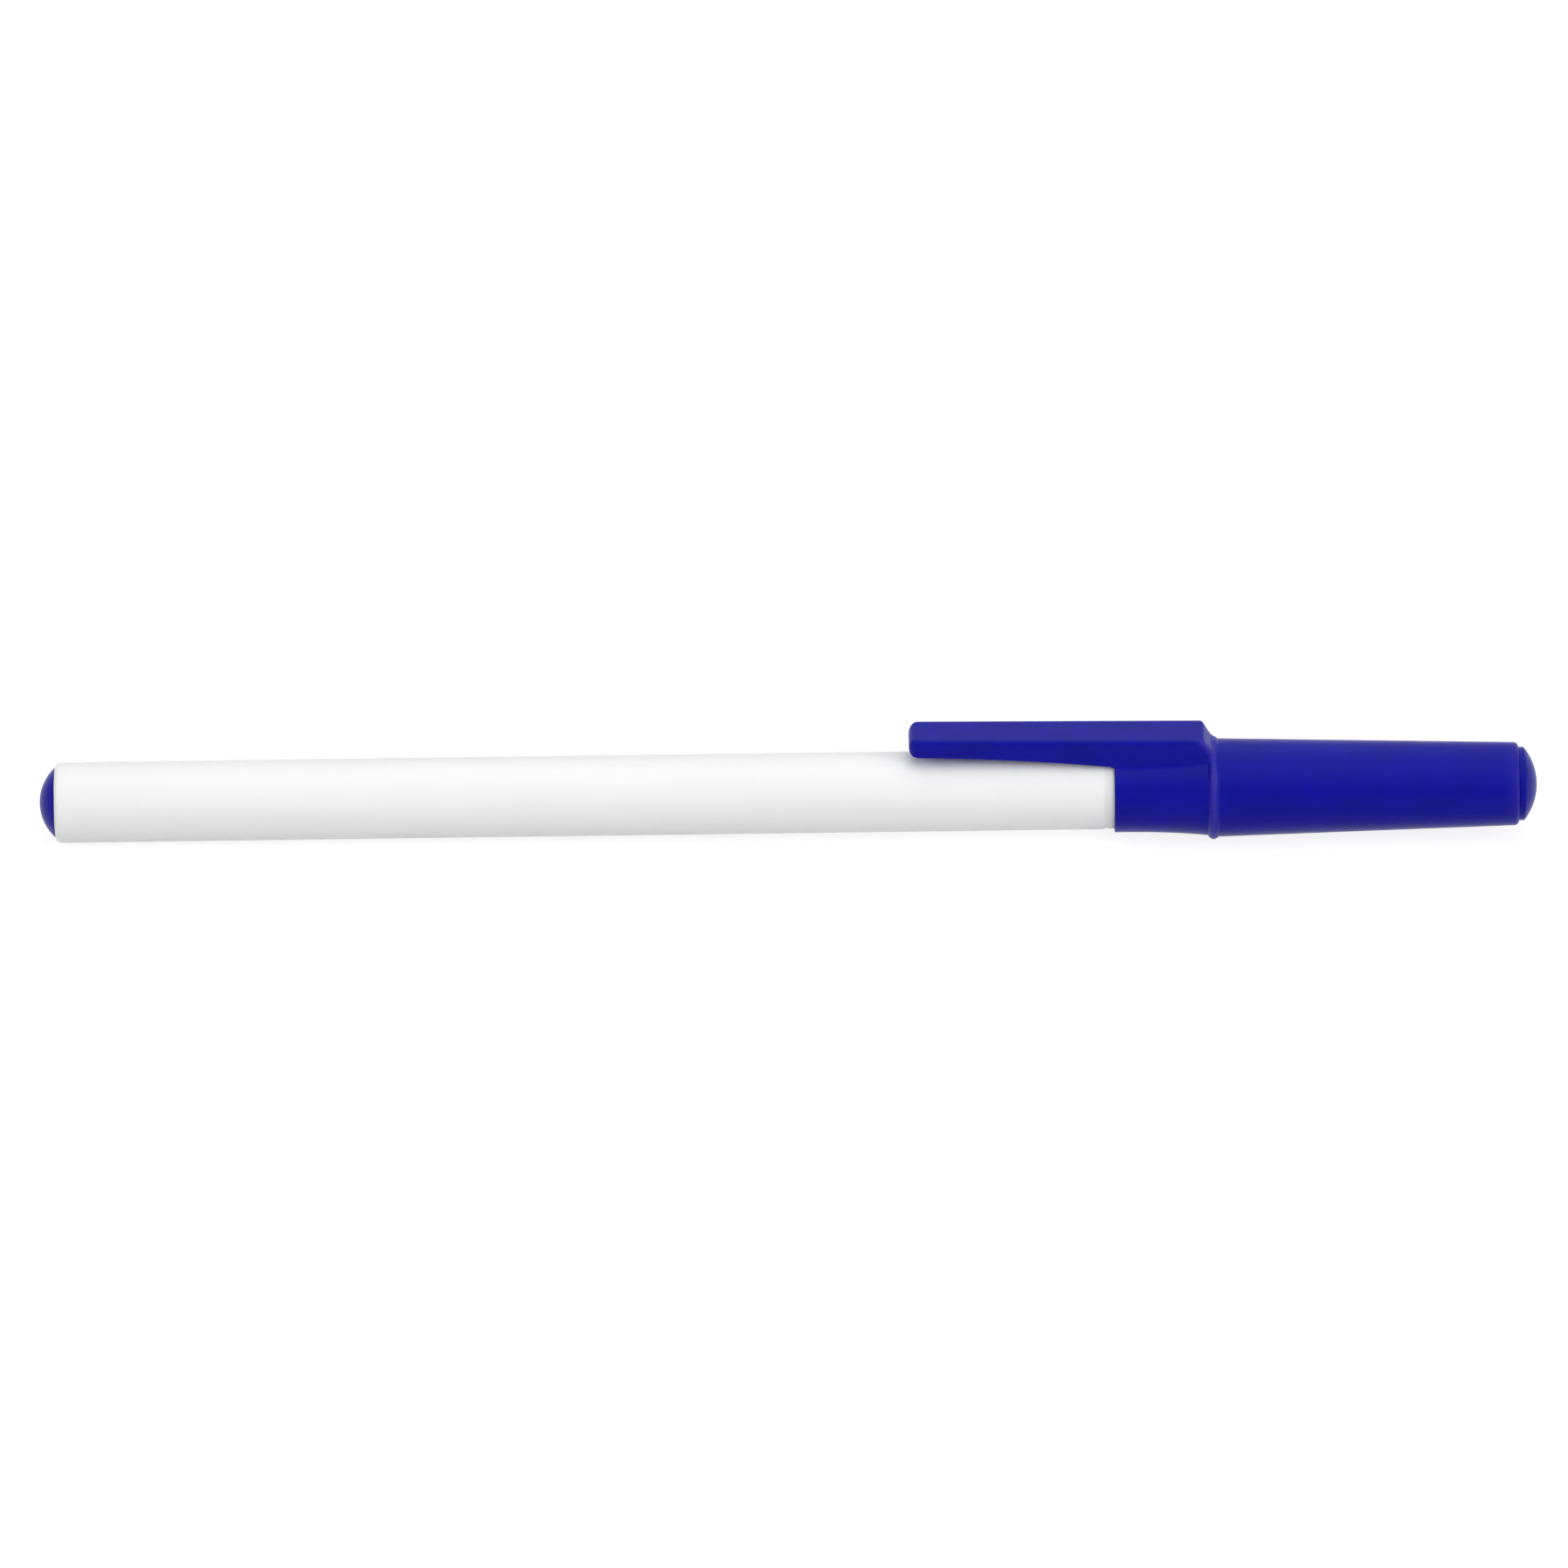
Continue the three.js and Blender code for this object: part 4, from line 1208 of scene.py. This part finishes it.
class PEN_OT_stage(bpy.types.Operator):
    """Make the floor, the light and the camera"""

    bl_idname = "pen.stage"
    bl_label = "Stage"

    def execute(self, context):
        scene = context.scene
        stage = scene.pen_stage
        self.make_floor(scene, stage)
        self.make_world(scene, stage)
        for name, (place, size) in LAMPS.items():
            self.make_lamp(scene, name, place, size, getattr(stage, name))
        self.make_camera(scene, stage)
        scene.view_settings.view_transform = "Standard"
        return {"FINISHED"}

    def make_floor(self, scene, stage):
        """A square that touches the flange ring's foot and the barrel's rear end."""
        flange = flange_at(scene.pen_sizes)
        rise = (BARREL_LOW.z - CAP_LOW.z) / (flange - BARREL_LOW.x)
        half = stage.floor_size / 2
        corner = np.array([(-half, -half), (half, -half), (half, half), (-half, half)])
        height = CAP_LOW.z + (flange - corner[:, 0]) * rise - stage.floor_gap
        mesh = bpy.data.meshes.new("floor")
        mesh.from_pydata(np.column_stack([corner, height]), [], [(0, 1, 2, 3)])
        mesh.materials.append(white_floor(stage))
        floor = bpy.data.objects.new("floor", mesh)
        scene.collection.objects.link(floor)

    def make_world(self, scene, stage):
        """Even light from all round, which the camera and mirrors see as white."""
        world = bpy.data.worlds.new("studio")
        world.use_nodes = True
        tree = world.node_tree
        background = tree.nodes["Background"]
        background.inputs["Color"].default_value = (1, 1, 1, 1)
        strength = to_range(tree, seen_directly(tree), stage.sky, 1.0, start=0, end=1)
        tree.links.new(strength, background.inputs["Strength"])
        scene.world = world

    def make_lamp(self, scene, name, place, size, energy):
        """A soft lamp of the given width and height that faces the pen's middle."""
        light = bpy.data.lights.new(name, "AREA")
        light.shape = "RECTANGLE"
        light.size, light.size_y = size
        light.energy = energy
        lamp = bpy.data.objects.new(name, light)
        lamp.location = place
        lamp.rotation_euler = (-lamp.location).to_track_quat("-Z", "Y").to_euler()
        lamp.visible_camera = False
        scene.collection.objects.link(lamp)

    def make_camera(self, scene, stage):
        """A long lens above the pen, turned a little so that the pen rises to the right."""
        camera_data = bpy.data.cameras.new("camera")
        camera_data.sensor_width = SENSOR_WIDTH
        camera_data.lens = SENSOR_WIDTH * stage.distance / stage.frame_width
        camera_data.clip_end = CAMERA_REACH
        camera = bpy.data.objects.new("camera", camera_data)
        along = Vector((1, 0, 0))
        up = Vector((0, math.sin(stage.elevation), math.cos(stage.elevation)))
        away = Vector((0, -math.cos(stage.elevation), math.sin(stage.elevation)))
        frame_right = along * math.cos(stage.roll) - up * math.sin(stage.roll)
        frame_up = along * math.sin(stage.roll) + up * math.cos(stage.roll)
        centre = Vector((stage.centre_offset, 0, AXIS_HEIGHT)) + frame_up * stage.centre_lift
        turned = Matrix((frame_right, frame_up, away)).transposed().to_4x4()
        camera.matrix_world = Matrix.Translation(centre + away * stage.distance) @ turned
        scene.collection.objects.link(camera)
        scene.camera = camera


class PEN_PT_panel(bpy.types.Panel):
    """The pen's pieces and the stage"""

    bl_idname = "PEN_PT_panel"
    bl_label = "Stick ballpoint pen"
    bl_space_type = "VIEW_3D"
    bl_region_type = "UI"
    bl_category = "Pen"

    def draw(self, context):
        for operator in OPERATORS:
            self.layout.operator(operator.bl_idname)


GROUPS = {"pen_sizes": PenSizes, "pen_finish": PenFinish, "pen_stage": PenStage}
OPERATORS = (PEN_OT_barrel, PEN_OT_end_plugs, PEN_OT_writing_end, PEN_OT_cap, PEN_OT_stage)


def register():
    """Adds the groups, the operators and the panel to Blender."""
    for name, group in GROUPS.items():
        bpy.utils.register_class(group)
        setattr(bpy.types.Scene, name, PointerProperty(type=group))
    for operator in OPERATORS:
        bpy.utils.register_class(operator)
    bpy.utils.register_class(PEN_PT_panel)


def unregister():
    """Takes them out again."""
    bpy.utils.unregister_class(PEN_PT_panel)
    for operator in reversed(OPERATORS):
        bpy.utils.unregister_class(operator)
    for name, group in GROUPS.items():
        delattr(bpy.types.Scene, name)
        bpy.utils.unregister_class(group)


def main():
    """Makes every piece and the stage."""
    register()
    bpy.ops.pen.barrel()
    bpy.ops.pen.end_plugs()
    bpy.ops.pen.writing_end()
    bpy.ops.pen.cap()
    bpy.ops.pen.stage()


if __name__ == "__main__":
    main()
